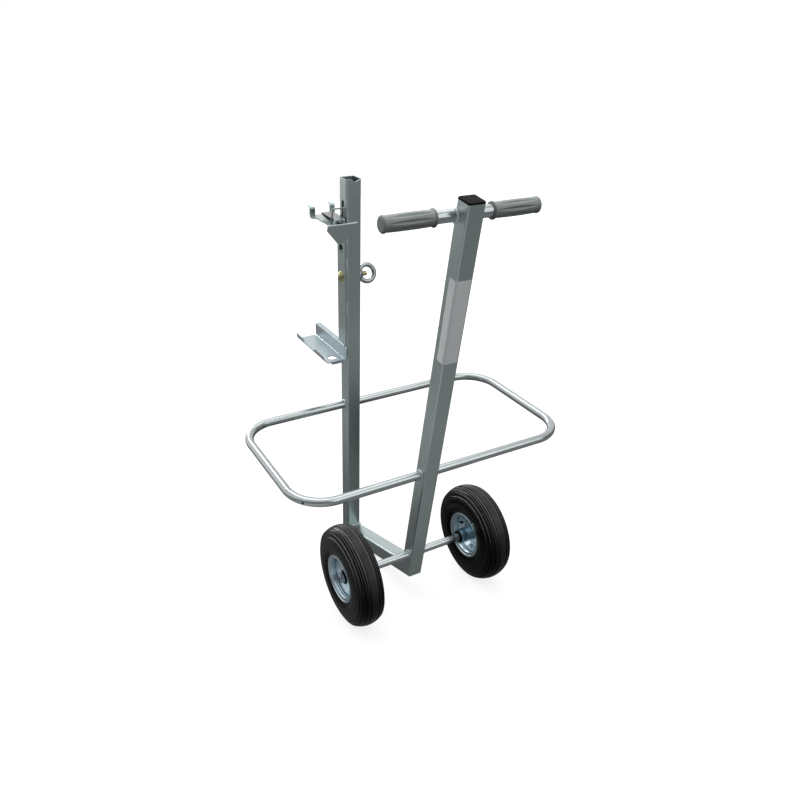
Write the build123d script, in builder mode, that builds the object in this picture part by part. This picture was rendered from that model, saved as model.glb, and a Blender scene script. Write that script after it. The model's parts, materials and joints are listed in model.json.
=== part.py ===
from build123d import *
import math
import os

os.makedirs("parts", exist_ok=True)

# Winch transport trolley, in millimetres and degrees, standing on a flat floor at z = 0.
# +X is the user's right, +Y is forward, +Z is up. The origin is the centre of the post foot's sole.
# Most of the frame is square to the post, so it is drawn in the post's own directions:
# x to the right, d forward and s up along the leaning post.

# Stance
lean_angle = 10.0
handle_splay = 8.0

# Clearances
weld_gap = 0.05
running_gap = 0.05
bolt_gap = 0.5
press_gap = 0.05
side_play = 0.6

# Square tubes
tube_width = 40.0
tube_wall = 3.0
tube_corner = 5.0
tube_inner_corner = 2.0

# Winch post
post_top = 1067.0
notch_width = 26.0
notch_depth = 6.5
notch_flat = 2.0
slot_width = 13.0
slot_length = 41.0
slot_drop = 71.0
slot_corner = 2.0
pin_hole_diameter = 20.0
pin_hole_drop = 65.5

# Post foot and handle cap
sole_thickness = 4.0
plug_length = 20.0
plug_gap = 0.2
cap_thickness = 4.0
cap_edge = 1.2
cap_bar_gap = 2.0

# Axle and its keepers
axle_setback = 365.0
axle_diameter = 20.0
axle_bore = 12.0
axle_end_margin = 4.85
axle_chamfer = 1.0
keeper_washer_diameter = 26.0
keeper_washer_thickness = 2.0
split_pin_diameter = 4.0
split_pin_head = 4.2
split_pin_wire = 1.6
split_pin_tail = 4.0
circlip_diameter = 28.0
circlip_thickness = 1.2
circlip_opening = 8.0
circlip_groove_depth = 0.8

# Handle tube, base tube and handlebar
handle_offset = 4.0
handle_top = 930.0
mitre_drop = 59.0
base_height = 27.5
bar_drop = 32.5
bar_diameter = 25.0
bar_wall = 2.0
bar_half_length = 175.5

# Grips
grip_length = 113.0
grip_end_wall = 2.5
grip_flange_diameter = 35.6
grip_flange_width = 4.0
grip_root_diameter = 30.4
grip_belly_diameter = 32.6
grip_collar_diameter = 33.0
grip_collar_width = 4.0
grip_nose_diameter = 26.0
flute_count = 8
flute_radius = 9.0
flute_depth = 2.2
flute_fade = 0.4
flute_margin = 3.0

# Hoop
hoop_height = 464.0
hoop_diameter = 21.3
hoop_wall = 2.0
hoop_bend = 89.0
hoop_left_reach = 324.5
hoop_right_reach = 429.5
vent_diameter = 6.0
vent_angle = 40.0

# Backing plate, through bolt and eye nut
plate_thickness = 6.0
plate_foot = 1.0
bolt_drop = 138.5
bolt_diameter = 12.0
bolt_head_diameter = 30.0
bolt_head_rise = 8.0
bolt_neck_length = 5.0
bolt_tip_reach = 22.5
bolt_tip_chamfer = 1.2
nut_washer_diameter = 28.0
nut_washer_thickness = 2.5
eye_outer_diameter = 54.0
eye_inner_diameter = 30.0
eye_rise = 24.0
eye_turn = 20.5
eye_boss_diameter = 28.0
eye_boss_top_diameter = 20.0
eye_boss_height = 9.5

# Hook bracket
bracket_drop = 99.5
bracket_sheet = 3.0
bracket_bend = 2.6
gusset_left = 71.0
gusset_bulge = 73.5
gusset_bulge_drop = 13.4
gusset_low_left = 43.2
gusset_low_drop = 49.8
gusset_heel_left = 34.0
gusset_heel_drop = 47.8
gusset_toe_left = 23.5
gusset_toe_drop = 40.0
gusset_right = 9.0
shelf_left = 66.0
shelf_waist = 55.0
shelf_flare = 75.0
shelf_flare_start = 60.0
shelf_flare_end = 72.0
shelf_end = 83.0
shelf_post_gap = 0.3
hook_sheet = 3.0
hook_lip = 9.0
hook_lip_rise = 3.5
hook_bend = 5.0
hook_one_left = 71.0
hook_one_width = 14.5
hook_one_rise = 20.0
hook_two_left = 16.5
hook_two_width = 13.8
hook_two_rise = 23.5

# Toggle latch
latch_left = 49.0
latch_right = 28.6
ear_sheet = 3.0
ear_radius = 4.5
ear_setback = 16.0
ear_rise = 7.0
ear_gap = 0.4
latch_pin_diameter = 4.0
latch_pin_overhang = 0.4
lever_sheet = 1.5
lever_tail = 4.0
lever_length = 70.0
lever_back_rise = 3.0
lever_tip_rise = 5.0
lever_side_drop = 5.0
lever_tip_side = 3.0
lever_flare = 3.4
lever_flare_ahead = 11.0
lever_flare_run = 12.0
bail_wire = 4.0
bail_rise = 29.3
bail_lean = 13.4
bail_bend = 4.0
bail_side_gap = 0.3
bail_pivot_ahead = 7.3
bail_pivot_rise = -0.3
bail_end_inset = 1.0

# Tray
tray_sheet = 3.0
tray_drop = 354.5
tray_left = 82.5
tray_near = 25.0
tray_far = 160.0
tray_high_wall = 34.0
tray_high_wall_tail = 6.0
tray_flange_width = 15.0
tray_flange_gap = 2.5
tray_low_wall = 10.0
tray_low_wall_chamfer = 18.0
tray_low_wall_tongue = 14.0
tray_notch_start = 58.0
tray_notch_end = 118.0
tray_notch_ramp = 8.0
tray_notch_floor = 2.0
tray_lip_left = 71.0
tray_lip_right = 31.0
tray_lip_drop = 9.0
tray_hole_diameter = 25.0
tray_hole_left = 55.5
tray_hole_ahead = 0.5

# Wheels, with reaches measured from the wheel's middle plane, outward positive
wheel_radius = 130.0
wheel_track = 374.0
tyre_crown_half = 28.0
tyre_crown_drop = 8.0
tyre_belly_half = 36.5
tyre_belly_radius = 95.0
tyre_wall = 6.0
tyre_tread_thickness = 11.0
bead_width = 9.6
bead_height = 9.0
groove_first = 11.3
groove_pitch = 10.6
groove_count = 4
groove_width = 4.4
tube_skin = 2.0
tube_slack = 0.5
rim_sheet = 2.2
rim_flange_height = 11.3
rim_flange_reach = 32.3
rim_curl = 1.9
rim_roll = 4.5
bead_seat_radius = 50.9
bead_seat_inset = 15.3
rim_web_radius = 40.5
bead_gap = 0.1
hub_diameter = 38.0
hub_bore = 28.0
hub_outer_reach = 20.0
hub_inner_reach = 50.0
bush_flange_diameter = 33.0
bush_flange_thickness = 2.5
bush_length = 20.0
valve_reach = 10.5
valve_angle = -73.0
valve_diameter = 10.0
valve_hole_gap = 0.25
valve_root_rise = 4.1
valve_shoulder_radius = 36.5
valve_tip_radius = 30.5
valve_tip_diameter = 6.0
valve_cap_diameter = 9.4
valve_cap_radius = 26.5

# Frame directions
lean = math.radians(lean_angle)
post_axis = Vector(0, -math.sin(lean), math.cos(lean))
forward = Vector(0, math.cos(lean), math.sin(lean))
post_plane = Plane(origin=(0, 0, 0), x_dir=(1, 0, 0), z_dir=post_axis)
tube_half = tube_width / 2

# Heights that go with the post's top and the handle's top
slot_height = post_top - slot_drop
bracket_height = post_top - bracket_drop
pin_hole_height = bracket_height - pin_hole_drop
bolt_height = bracket_height - bolt_drop
tray_floor = bracket_height - tray_drop
plate_top = bracket_height - bracket_sheet
plate_bottom = tray_floor - plate_foot
bar_height = handle_top - bar_drop
tray_flange_start = tube_half + tray_flange_gap


def on_post(right, ahead, height):
    return post_plane.from_local_coords(Vector(right, ahead, height))


def post_level(height):
    return Plane(origin=on_post(0, 0, height), x_dir=(1, 0, 0), z_dir=post_axis)


def post_face(ahead):
    return Plane(origin=on_post(0, ahead, 0), x_dir=(1, 0, 0), z_dir=-forward)


def post_side(right):
    return Plane(origin=(right, 0, 0), x_dir=forward, z_dir=(1, 0, 0))


def across(centre):
    return Plane(origin=centre, x_dir=forward, z_dir=(1, 0, 0))


axle_height = (wheel_radius + axle_setback * math.sin(lean)) / math.cos(lean)
axle_centre = on_post(0, -axle_setback, axle_height)
handle_lean = math.radians(lean_angle + handle_splay)
handle_axis = Vector(0, -math.sin(handle_lean), math.cos(handle_lean))
handle_plane = Plane(origin=axle_centre, x_dir=(1, 0, 0), z_dir=handle_axis)


def on_handle(right, ahead, height):
    return handle_plane.from_local_coords(Vector(right, handle_offset + ahead, height))


mitre_point = on_handle(0, 0, -mitre_drop)
base_end = on_post(0, -tube_half, base_height)
base_axis = (base_end - mitre_point).normalized()
base_length = (base_end - mitre_point).length
mitre_plane = Plane(origin=mitre_point, x_dir=(1, 0, 0), z_dir=handle_axis - base_axis)
bar_centre = on_handle(0, tube_half, bar_height)
hoop_level = post_level(hoop_height)
handle_foot = post_plane.to_local_coords(on_handle(0, 0, 0))
handle_climb = (hoop_height - handle_foot.Z) * math.tan(math.radians(handle_splay))
hoop_near = handle_foot.Y - handle_climb


def square_stock(plane, start, length):
    with BuildPart() as stock:
        with BuildSketch(plane.offset(start)):
            RectangleRounded(tube_width, tube_width, tube_corner)
            bore = tube_width - 2 * tube_wall
            RectangleRounded(bore, bore, tube_inner_corner, mode=Mode.SUBTRACT)
        extrude(amount=length)
    return stock.part


# Winch post: its foot is cut level with the floor, above the sole
sole_plane = Plane(origin=(0, 0, sole_thickness), z_dir=(0, 0, 1))
post_stock = square_stock(post_plane, -tube_width, post_top + tube_width)
with BuildPart() as winch_post:
    add(post_stock)
    split(bisect_by=sole_plane, keep=Keep.TOP)
    with BuildSketch(post_side(0)):
        with Locations((0, slot_height)):
            RectangleRounded(slot_width, slot_length, slot_corner)
        with Locations((0, pin_hole_height)):
            Circle(pin_hole_diameter / 2)
        with Locations((0, bolt_height)):
            Circle(bolt_diameter / 2 + bolt_gap)
    extrude(amount=tube_width, both=True, mode=Mode.SUBTRACT)
    with BuildSketch(post_face(-tube_half)):
        with BuildLine():
            notch_foot = post_top - notch_depth
            notch_left = tube_half - notch_width
            notch_middle = notch_left + notch_width / 3
            Polyline(
                (notch_left, post_top + 1),
                (notch_left, post_top),
                (notch_middle, notch_foot),
                (notch_middle + notch_flat, notch_foot),
                (tube_half, post_top),
                (tube_half, post_top + 1),
                close=True,
            )
        make_face()
    extrude(amount=-tube_wall, mode=Mode.SUBTRACT)
winch_post.part.label = "winch_post"
export_step(winch_post.part, "parts/winch_post.step")

# Post foot: a sole under the cut end and a plug up inside the tube
with BuildPart() as post_foot:
    with BuildSketch(post_plane.offset(-tube_width)):
        RectangleRounded(tube_width, tube_width, tube_corner)
    extrude(amount=2 * tube_width)
    split(bisect_by=sole_plane, keep=Keep.BOTTOM)
    split(bisect_by=Plane.XY, keep=Keep.TOP)
    with BuildSketch(post_plane):
        plug_width = tube_width - 2 * tube_wall - 2 * plug_gap
        RectangleRounded(plug_width, plug_width, tube_inner_corner)
    extrude(amount=plug_length + sole_thickness)
    split(bisect_by=Plane.XY, keep=Keep.TOP)
post_foot.part.label = "post_foot"
export_step(post_foot.part, "parts/post_foot.step")

# Handle tube: mitred at its foot, bored for the axle, with a half-round saddle for the handlebar
handle_stock = square_stock(
    Plane(origin=on_handle(0, 0, 0), x_dir=(1, 0, 0), z_dir=handle_axis),
    -mitre_drop - tube_width,
    handle_top + mitre_drop + tube_width,
)
with BuildPart() as handle_tube:
    add(handle_stock)
    split(bisect_by=mitre_plane, keep=Keep.TOP)
    with BuildSketch(across(axle_centre)):
        Circle(axle_diameter / 2 + weld_gap)
    extrude(amount=tube_width, both=True, mode=Mode.SUBTRACT)
    with BuildSketch(across(bar_centre)):
        Circle(bar_diameter / 2 + weld_gap)
    extrude(amount=tube_width, both=True, mode=Mode.SUBTRACT)
handle_tube.part.label = "handle_tube"
export_step(handle_tube.part, "parts/handle_tube.step")

# Base tube: mitred to the handle tube, its other end cut to sit flat on the post
base_stock = square_stock(
    Plane(origin=mitre_point, x_dir=(1, 0, 0), z_dir=base_axis),
    -tube_width,
    base_length + 2 * tube_width,
)
with BuildPart() as base_tube:
    add(base_stock)
    split(bisect_by=mitre_plane, keep=Keep.BOTTOM)
    split(bisect_by=post_face(-tube_half), keep=Keep.TOP)
base_tube.part.label = "base_tube"
export_step(base_tube.part, "parts/base_tube.step")

# Handle cap: a lid with a plug below it that stops short of the handlebar
cap_plane = Plane(origin=on_handle(0, 0, handle_top), x_dir=(1, 0, 0), z_dir=handle_axis)
with BuildPart() as handle_cap:
    with BuildSketch(cap_plane):
        RectangleRounded(tube_width, tube_width, tube_corner)
    extrude(amount=cap_thickness)
    chamfer(faces().sort_by(Axis((0, 0, 0), handle_axis))[-1].edges(), cap_edge)
    with BuildSketch(cap_plane):
        plug_width = tube_width - 2 * tube_wall - 2 * plug_gap
        RectangleRounded(plug_width, plug_width, tube_inner_corner)
    extrude(amount=-(bar_drop - bar_diameter / 2 - cap_bar_gap))
handle_cap.part.label = "handle_cap"
export_step(handle_cap.part, "parts/handle_cap.step")

# Handlebar
with BuildPart() as handlebar:
    with BuildSketch(across(bar_centre)):
        Circle(bar_diameter / 2)
        Circle(bar_diameter / 2 - bar_wall, mode=Mode.SUBTRACT)
    extrude(amount=bar_half_length, both=True)
handlebar.part.label = "handlebar"
export_step(handlebar.part, "parts/handlebar.step")


def make_flute(plane, start, stop):
    low = grip_belly_diameter / 2 - flute_depth + flute_radius
    high = grip_root_diameter / 2 + flute_fade + flute_radius
    with BuildPart() as flute:
        with BuildLine(plane) as run:
            ThreePointArc((start, high), ((start + stop) / 2, low), (stop, high))
        with BuildSketch(Plane(origin=run.line @ 0, z_dir=run.line % 0)):
            Circle(flute_radius)
        sweep()
    return flute.part


def make_grip(side):
    grip_plane = Plane(origin=bar_centre, x_dir=(side, 0, 0), z_dir=(0, -side, 0))
    bore = bar_diameter / 2 + press_gap
    end_wall = bar_half_length + press_gap
    tip = end_wall + grip_end_wall
    start = tip - grip_length
    body_start = start + grip_flange_width
    body_end = tip - grip_end_wall - grip_collar_width
    flute = make_flute(grip_plane, body_start + flute_margin, body_end - flute_margin)
    bar_axis = Axis(bar_centre, (1, 0, 0))
    with BuildPart() as grip:
        with BuildSketch(grip_plane):
            with BuildLine():
                Polyline(
                    (start, bore),
                    (start, grip_flange_diameter / 2),
                    (body_start, grip_flange_diameter / 2),
                    (body_start, grip_root_diameter / 2),
                )
                ThreePointArc(
                    (body_start, grip_root_diameter / 2),
                    ((body_start + body_end) / 2, grip_belly_diameter / 2),
                    (body_end, grip_root_diameter / 2),
                )
                Polyline(
                    (body_end, grip_root_diameter / 2),
                    (body_end, grip_collar_diameter / 2),
                    (body_end + grip_collar_width, grip_collar_diameter / 2),
                    (tip, grip_nose_diameter / 2),
                    (tip, 0),
                    (end_wall, 0),
                    (end_wall, bore),
                    (start, bore),
                )
            make_face()
        revolve(axis=bar_axis)
        for step in range(flute_count):
            add(flute.rotate(bar_axis, step * 360 / flute_count), mode=Mode.SUBTRACT)
    return grip.part


for side, name in ((-1, "grip_left"), (1, "grip_right")):
    grip_part = make_grip(side)
    grip_part.label = name
    export_step(grip_part, f"parts/{name}.step")


def make_hoop(side, reach):
    start = Vector(side * tube_half, 0, 0)
    with BuildPart() as hoop:
        with BuildLine(hoop_level) as run:
            FilletPolyline(
                (side * tube_half, 0),
                (side * reach, 0),
                (side * reach, hoop_near),
                (side * tube_half, hoop_near),
                radius=hoop_bend,
            )
        with BuildSketch(Plane(origin=hoop_level.from_local_coords(start), z_dir=(side, 0, 0))):
            Circle(hoop_diameter / 2)
            Circle(hoop_diameter / 2 - hoop_wall, mode=Mode.SUBTRACT)
        sweep()
        if side < 0:
            turn = math.radians(vent_angle)
            centre_x = side * (reach - hoop_bend)
            centre_d = hoop_near + hoop_bend
            outward = Vector(side * math.cos(turn), -math.sin(turn), 0)
            vent_local = Vector(centre_x, centre_d, 0) + outward * hoop_bend
            vent_origin = hoop_level.from_local_coords(vent_local)
            vent_axis = hoop_level.from_local_coords(vent_local + outward) - vent_origin
            with BuildSketch(Plane(origin=vent_origin, z_dir=vent_axis)):
                Circle(vent_diameter / 2)
            extrude(amount=hoop_diameter, mode=Mode.SUBTRACT)
    return hoop.part


for side, reach, name in ((-1, hoop_left_reach, "hoop_left"), (1, hoop_right_reach, "hoop_right")):
    hoop_part = make_hoop(side, reach)
    hoop_part.label = name
    export_step(hoop_part, f"parts/{name}.step")

# Axle: a thick tube with a circlip groove inside each wheel and a split-pin hole outside it
wheel_offset = wheel_track / 2
keeper_start = hub_outer_reach + bush_flange_thickness + side_play
split_pin_reach = keeper_start + keeper_washer_thickness + split_pin_diameter / 2 + running_gap
circlip_reach = hub_inner_reach + bush_flange_thickness + side_play
axle_end_reach = split_pin_reach + axle_end_margin
groove_width_axle = circlip_thickness + 2 * running_gap
groove_radius = axle_diameter / 2 - circlip_groove_depth
with BuildPart() as axle:
    with BuildSketch(across(axle_centre)):
        Circle(axle_diameter / 2)
        Circle(axle_bore / 2, mode=Mode.SUBTRACT)
    extrude(amount=wheel_offset + axle_end_reach, both=True)
    ends = edges().filter_by(GeomType.CIRCLE).group_by(SortBy.RADIUS)[-1]
    chamfer(ends, axle_chamfer)
    for side in (-1, 1):
        groove_at = side * (wheel_offset - circlip_reach - circlip_thickness / 2)
        with BuildSketch(across(axle_centre + Vector(groove_at, 0, 0))):
            Circle(axle_diameter / 2 + 1)
            Circle(groove_radius, mode=Mode.SUBTRACT)
        extrude(amount=groove_width_axle / 2, both=True, mode=Mode.SUBTRACT)
        pin_at = side * (wheel_offset + split_pin_reach)
        with BuildSketch(Plane(origin=axle_centre + Vector(pin_at, 0, 0), z_dir=(0, 0, 1))):
            Circle(split_pin_diameter / 2 + press_gap)
        extrude(amount=axle_diameter, both=True, mode=Mode.SUBTRACT)
axle.part.label = "axle"
export_step(axle.part, "parts/axle.step")


def make_keeper_washer(side):
    with BuildPart() as washer:
        inner_face = axle_centre + Vector(side * (wheel_offset + keeper_start), 0, 0)
        with BuildSketch(Plane(origin=inner_face, x_dir=(0, 1, 0), z_dir=(side, 0, 0))):
            Circle(keeper_washer_diameter / 2)
            Circle(axle_diameter / 2 + press_gap, mode=Mode.SUBTRACT)
        extrude(amount=keeper_washer_thickness)
    return washer.part


def make_split_pin(side):
    centre = axle_centre + Vector(side * (wheel_offset + split_pin_reach), 0, 0)
    reach = axle_diameter / 2 + split_pin_tail
    with BuildPart() as pin:
        with BuildSketch(Plane(origin=centre - Vector(0, 0, reach), z_dir=(0, 0, 1))):
            Circle(split_pin_diameter / 2)
        extrude(amount=2 * reach)
        eye = Plane(origin=centre + Vector(0, 0, reach + split_pin_head - split_pin_wire), z_dir=(1, 0, 0))
        with Locations(eye):
            Torus(split_pin_head, split_pin_wire)
    return pin.part


def make_circlip(side):
    with BuildPart() as clip:
        outer_face = axle_centre + Vector(side * (wheel_offset - circlip_reach), 0, 0)
        with BuildSketch(Plane(origin=outer_face, x_dir=(0, 1, 0), z_dir=(-side, 0, 0))):
            Circle(circlip_diameter / 2)
            Circle(groove_radius + press_gap, mode=Mode.SUBTRACT)
            with Locations((0, -side * circlip_diameter / 2)):
                Rectangle(circlip_opening, circlip_diameter, mode=Mode.SUBTRACT)
        extrude(amount=circlip_thickness)
    return clip.part


for side, hand in ((-1, "left"), (1, "right")):
    for maker, name in (
        (make_keeper_washer, "axle_washer"),
        (make_split_pin, "split_pin"),
        (make_circlip, "circlip"),
    ):
        keeper_part = maker(side)
        keeper_part.label = f"{name}_{hand}"
        export_step(keeper_part, f"parts/{name}_{hand}.step")

# Backing plate on the left side of the post
plate_outer = -tube_half - plate_thickness
with BuildPart() as backing_plate:
    with BuildSketch(post_side(-tube_half)):
        with Locations((0, (plate_bottom + plate_top) / 2)):
            Rectangle(tube_width, plate_top - plate_bottom)
        with Locations((0, pin_hole_height)):
            Circle(pin_hole_diameter / 2, mode=Mode.SUBTRACT)
        with Locations((0, bolt_height)):
            neck_hole = bolt_diameter + bolt_gap
            Rectangle(neck_hole, neck_hole, mode=Mode.SUBTRACT)
    extrude(amount=-plate_thickness)
backing_plate.part.label = "backing_plate"
export_step(backing_plate.part, "parts/backing_plate.step")

# Through bolt: domed head on the plate, square neck in the plate, shank out to the eye nut
bolt_centre = on_post(0, 0, bolt_height)
bolt_plane = Plane(origin=bolt_centre, x_dir=(1, 0, 0), z_dir=-forward)
nut_seat = tube_half + nut_washer_thickness
bolt_tip = nut_seat + bolt_tip_reach
with BuildPart() as through_bolt:
    with BuildSketch(bolt_plane):
        with BuildLine():
            ThreePointArc(
                (plate_outer - bolt_head_rise, 0),
                (plate_outer - bolt_head_rise * 0.72, bolt_head_diameter * 0.27),
                (plate_outer, bolt_head_diameter / 2),
            )
            Polyline(
                (plate_outer, bolt_head_diameter / 2),
                (plate_outer, bolt_diameter / 2),
                (bolt_tip - bolt_tip_chamfer, bolt_diameter / 2),
                (bolt_tip, bolt_diameter / 2 - bolt_tip_chamfer),
                (bolt_tip, 0),
                (plate_outer - bolt_head_rise, 0),
            )
        make_face()
    revolve(axis=Axis(bolt_centre, (1, 0, 0)))
    with BuildSketch(across(bolt_centre + Vector(plate_outer, 0, 0))):
        Rectangle(bolt_diameter, bolt_diameter)
    extrude(amount=bolt_neck_length)
through_bolt.part.label = "through_bolt"
export_step(through_bolt.part, "parts/through_bolt.step")

with BuildPart() as bolt_washer:
    with BuildSketch(across(bolt_centre + Vector(tube_half, 0, 0))):
        Circle(nut_washer_diameter / 2)
        Circle(bolt_diameter / 2 + bolt_gap, mode=Mode.SUBTRACT)
    extrude(amount=nut_washer_thickness)
bolt_washer.part.label = "bolt_washer"
export_step(bolt_washer.part, "parts/bolt_washer.step")

# Eye nut: a round ring on a tapered boss, bored for the bolt
eye_wire = (eye_outer_diameter - eye_inner_diameter) / 4
eye_mean = (eye_outer_diameter + eye_inner_diameter) / 4
nut_plane = across(bolt_centre + Vector(nut_seat, 0, 0))
eye_tilt = math.radians(eye_turn)
eye_normal = forward * math.cos(eye_tilt) - post_axis * math.sin(eye_tilt)
with BuildPart() as eye_nut:
    with Locations(Plane(origin=bolt_centre + Vector(nut_seat + eye_rise, 0, 0), z_dir=eye_normal)):
        Torus(eye_mean, eye_wire)
    with BuildSketch(bolt_plane):
        with BuildLine():
            Polyline(
                (nut_seat, 0),
                (nut_seat, eye_boss_diameter / 2),
                (nut_seat + eye_boss_height / 3, eye_boss_diameter / 2),
                (nut_seat + eye_boss_height, eye_boss_top_diameter / 2),
                (nut_seat + eye_boss_height, 0),
                close=True,
            )
        make_face()
    revolve(axis=Axis(bolt_centre, (1, 0, 0)))
    split(bisect_by=nut_plane, keep=Keep.TOP)
    with BuildSketch(nut_plane):
        Circle(bolt_diameter / 2 + weld_gap)
    extrude(amount=eye_rise, mode=Mode.SUBTRACT)
eye_nut.part.label = "eye_nut"
export_step(eye_nut.part, "parts/eye_nut.step")

# Hook bracket: gusset on the near face of the post, shelf, two hooks, two latch ears
shelf_bottom = bracket_height - bracket_sheet
gusset_front = -tube_half - bracket_sheet
pivot_ahead = -ear_setback
pivot_height = bracket_height + ear_rise
ear_left = -latch_left - ear_sheet
ear_right = -latch_right
with BuildPart() as hook_bracket:
    with BuildSketch(post_face(-tube_half)):
        with BuildLine():
            Polyline(
                (-gusset_left, bracket_height),
                (-gusset_bulge, bracket_height - gusset_bulge_drop),
                (-gusset_low_left, bracket_height - gusset_low_drop),
                (-gusset_heel_left, bracket_height - gusset_heel_drop),
                (-gusset_toe_left, bracket_height - gusset_toe_drop),
                (gusset_right, bracket_height),
                close=True,
            )
        make_face()
    extrude(amount=bracket_sheet)
    with BuildSketch(post_level(shelf_bottom)):
        with BuildLine():
            post_edge = -tube_half - shelf_post_gap
            Polyline(
                (-shelf_left, gusset_front),
                (-shelf_left, shelf_waist),
                (-shelf_flare, shelf_flare_start),
                (-shelf_flare, shelf_flare_end),
                (-hook_one_left, shelf_end),
                (0, shelf_end),
                (0, tube_half + shelf_post_gap),
                (post_edge, tube_half + shelf_post_gap),
                (post_edge, gusset_front),
                close=True,
            )
        make_face()
    extrude(amount=bracket_sheet)
    fold = hook_bracket.edges().filter_by(Axis.X).sort_by(Axis((0, 0, 0), post_axis - forward))[-1]
    fillet(fold, bracket_bend)
    hook_middle = shelf_end - hook_sheet / 2
    for hook_left, hook_width, hook_rise in (
        (hook_one_left, hook_one_width, hook_one_rise),
        (hook_two_left, hook_two_width, hook_two_rise),
    ):
        hook_top = bracket_height + hook_rise
        with BuildSketch(post_side(-hook_left)):
            with BuildLine():
                FilletPolyline(
                    (hook_middle, shelf_bottom),
                    (hook_middle, hook_top - hook_sheet / 2),
                    (shelf_end + hook_lip, hook_top + hook_lip_rise - hook_sheet / 2),
                    radius=hook_bend,
                )
            trace(line_width=hook_sheet)
        extrude(amount=hook_width)
    for ear_start in (ear_left, ear_right):
        with BuildSketch(post_side(ear_start)):
            with Locations((pivot_ahead, pivot_height)):
                Circle(ear_radius)
            with Locations((pivot_ahead, (shelf_bottom + pivot_height) / 2)):
                Rectangle(2 * ear_radius, pivot_height - shelf_bottom)
            with Locations((pivot_ahead, pivot_height)):
                Circle(latch_pin_diameter / 2 + press_gap, mode=Mode.SUBTRACT)
        extrude(amount=ear_sheet)
hook_bracket.part.label = "hook_bracket"
export_step(hook_bracket.part, "parts/hook_bracket.step")

# Latch pin through the ears and the lever
with BuildPart() as latch_pin:
    pin_start = ear_left - latch_pin_overhang
    pin_end = ear_right + ear_sheet + latch_pin_overhang
    with BuildSketch(post_side(pin_start)):
        with Locations((pivot_ahead, pivot_height)):
            Circle(latch_pin_diameter / 2)
    extrude(amount=pin_end - pin_start)
latch_pin.part.label = "latch_pin"
export_step(latch_pin.part, "parts/latch_pin.step")

# Latch lever: a channel open below, between the ears, swinging on the pin and wider ahead of them
lever_left = -latch_left + ear_gap
lever_right = -latch_right - ear_gap
lever_near = pivot_ahead - lever_tail
lever_far = pivot_ahead + lever_length
lever_top_near = pivot_height + lever_back_rise
lever_top_far = pivot_height + lever_tip_rise
lever_bottom = pivot_height - lever_side_drop
bail_ahead = pivot_ahead + bail_pivot_ahead
bail_height = pivot_height + bail_pivot_rise
lever_knee = (lever_near + lever_far) / 2


def lever_outline(drop, extra):
    with BuildSketch(post_side(0)) as outline:
        with BuildLine():
            Polyline(
                (lever_far + extra, lever_top_far - lever_tip_side - extra),
                (lever_far + extra, lever_top_far - drop),
                (lever_near - extra, lever_top_near - drop),
                (lever_near - extra, lever_bottom - extra),
                (lever_knee, lever_bottom - extra),
            )
            ThreePointArc(
                (lever_knee, lever_bottom - extra),
                (lever_far - lever_length * 0.2, lever_bottom + lever_tip_side - extra),
                (lever_far + extra, lever_top_far - lever_tip_side - extra),
            )
        make_face()
    return outline.sketch


def lever_block(drop, extra):
    """The lever's side outline cut to its plan, drawn in by the same amount as the hollow."""
    flare_start = pivot_ahead + lever_flare_ahead
    flare_end = flare_start + lever_flare_run
    near = lever_near - extra
    far = lever_far + extra
    with BuildPart() as block:
        with Locations((lever_left - lever_flare, 0, 0)):
            add(extrude(lever_outline(drop, extra), amount=lever_right - lever_left + 2 * lever_flare))
        with BuildSketch(post_level(shelf_bottom)):
            with BuildLine():
                Polyline(
                    (lever_left + drop, near),
                    (lever_left + drop, flare_start),
                    (lever_left - lever_flare + drop, flare_end),
                    (lever_left - lever_flare + drop, far),
                    (lever_right + lever_flare - drop, far),
                    (lever_right + lever_flare - drop, flare_end),
                    (lever_right - drop, flare_start),
                    (lever_right - drop, near),
                    close=True,
                )
            make_face()
        extrude(amount=2 * lever_length, mode=Mode.INTERSECT)
    return block.part


with BuildPart() as latch_lever:
    add(lever_block(0, 0))
    add(lever_block(lever_sheet, lever_sheet), mode=Mode.SUBTRACT)
    with BuildSketch(post_side(lever_left)):
        with Locations((pivot_ahead, pivot_height)):
            Circle(latch_pin_diameter / 2 + running_gap)
        with Locations((bail_ahead, bail_height)):
            Circle(bail_wire / 2 + running_gap)
    extrude(amount=lever_right - lever_left, mode=Mode.SUBTRACT)
latch_lever.part.label = "latch_lever"
export_step(latch_lever.part, "parts/latch_lever.step")

# Latch bail: a wire loop standing on the lever, its ends turned in through the lever's sides
leg_left = ear_left - latch_pin_overhang - bail_side_gap - bail_wire / 2
leg_right = ear_right + ear_sheet + latch_pin_overhang + bail_side_gap + bail_wire / 2
bail_tilt = math.radians(bail_lean)
bail_normal = post_axis * -math.sin(bail_tilt) - forward * math.cos(bail_tilt)
bail_pivot = on_post(0, bail_ahead, bail_height)
bail_plane = Plane(origin=bail_pivot, x_dir=(1, 0, 0), z_dir=bail_normal)
bail_end_left = lever_left + lever_sheet + bail_end_inset
bail_end_right = lever_right - lever_sheet - bail_end_inset
with BuildPart() as latch_bail:
    with BuildLine(bail_plane) as bail_run:
        FilletPolyline(
            (bail_end_left, 0),
            (leg_left, 0),
            (leg_left, bail_rise),
            (leg_right, bail_rise),
            (leg_right, 0),
            (bail_end_right, 0),
            radius=bail_bend,
        )
    bail_start = bail_plane.from_local_coords(Vector(bail_end_left, 0, 0))
    with BuildSketch(Plane(origin=bail_start, z_dir=(-1, 0, 0))):
        Circle(bail_wire / 2)
    sweep()
latch_bail.part.label = "latch_bail"
export_step(latch_bail.part, "parts/latch_bail.step")

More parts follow.
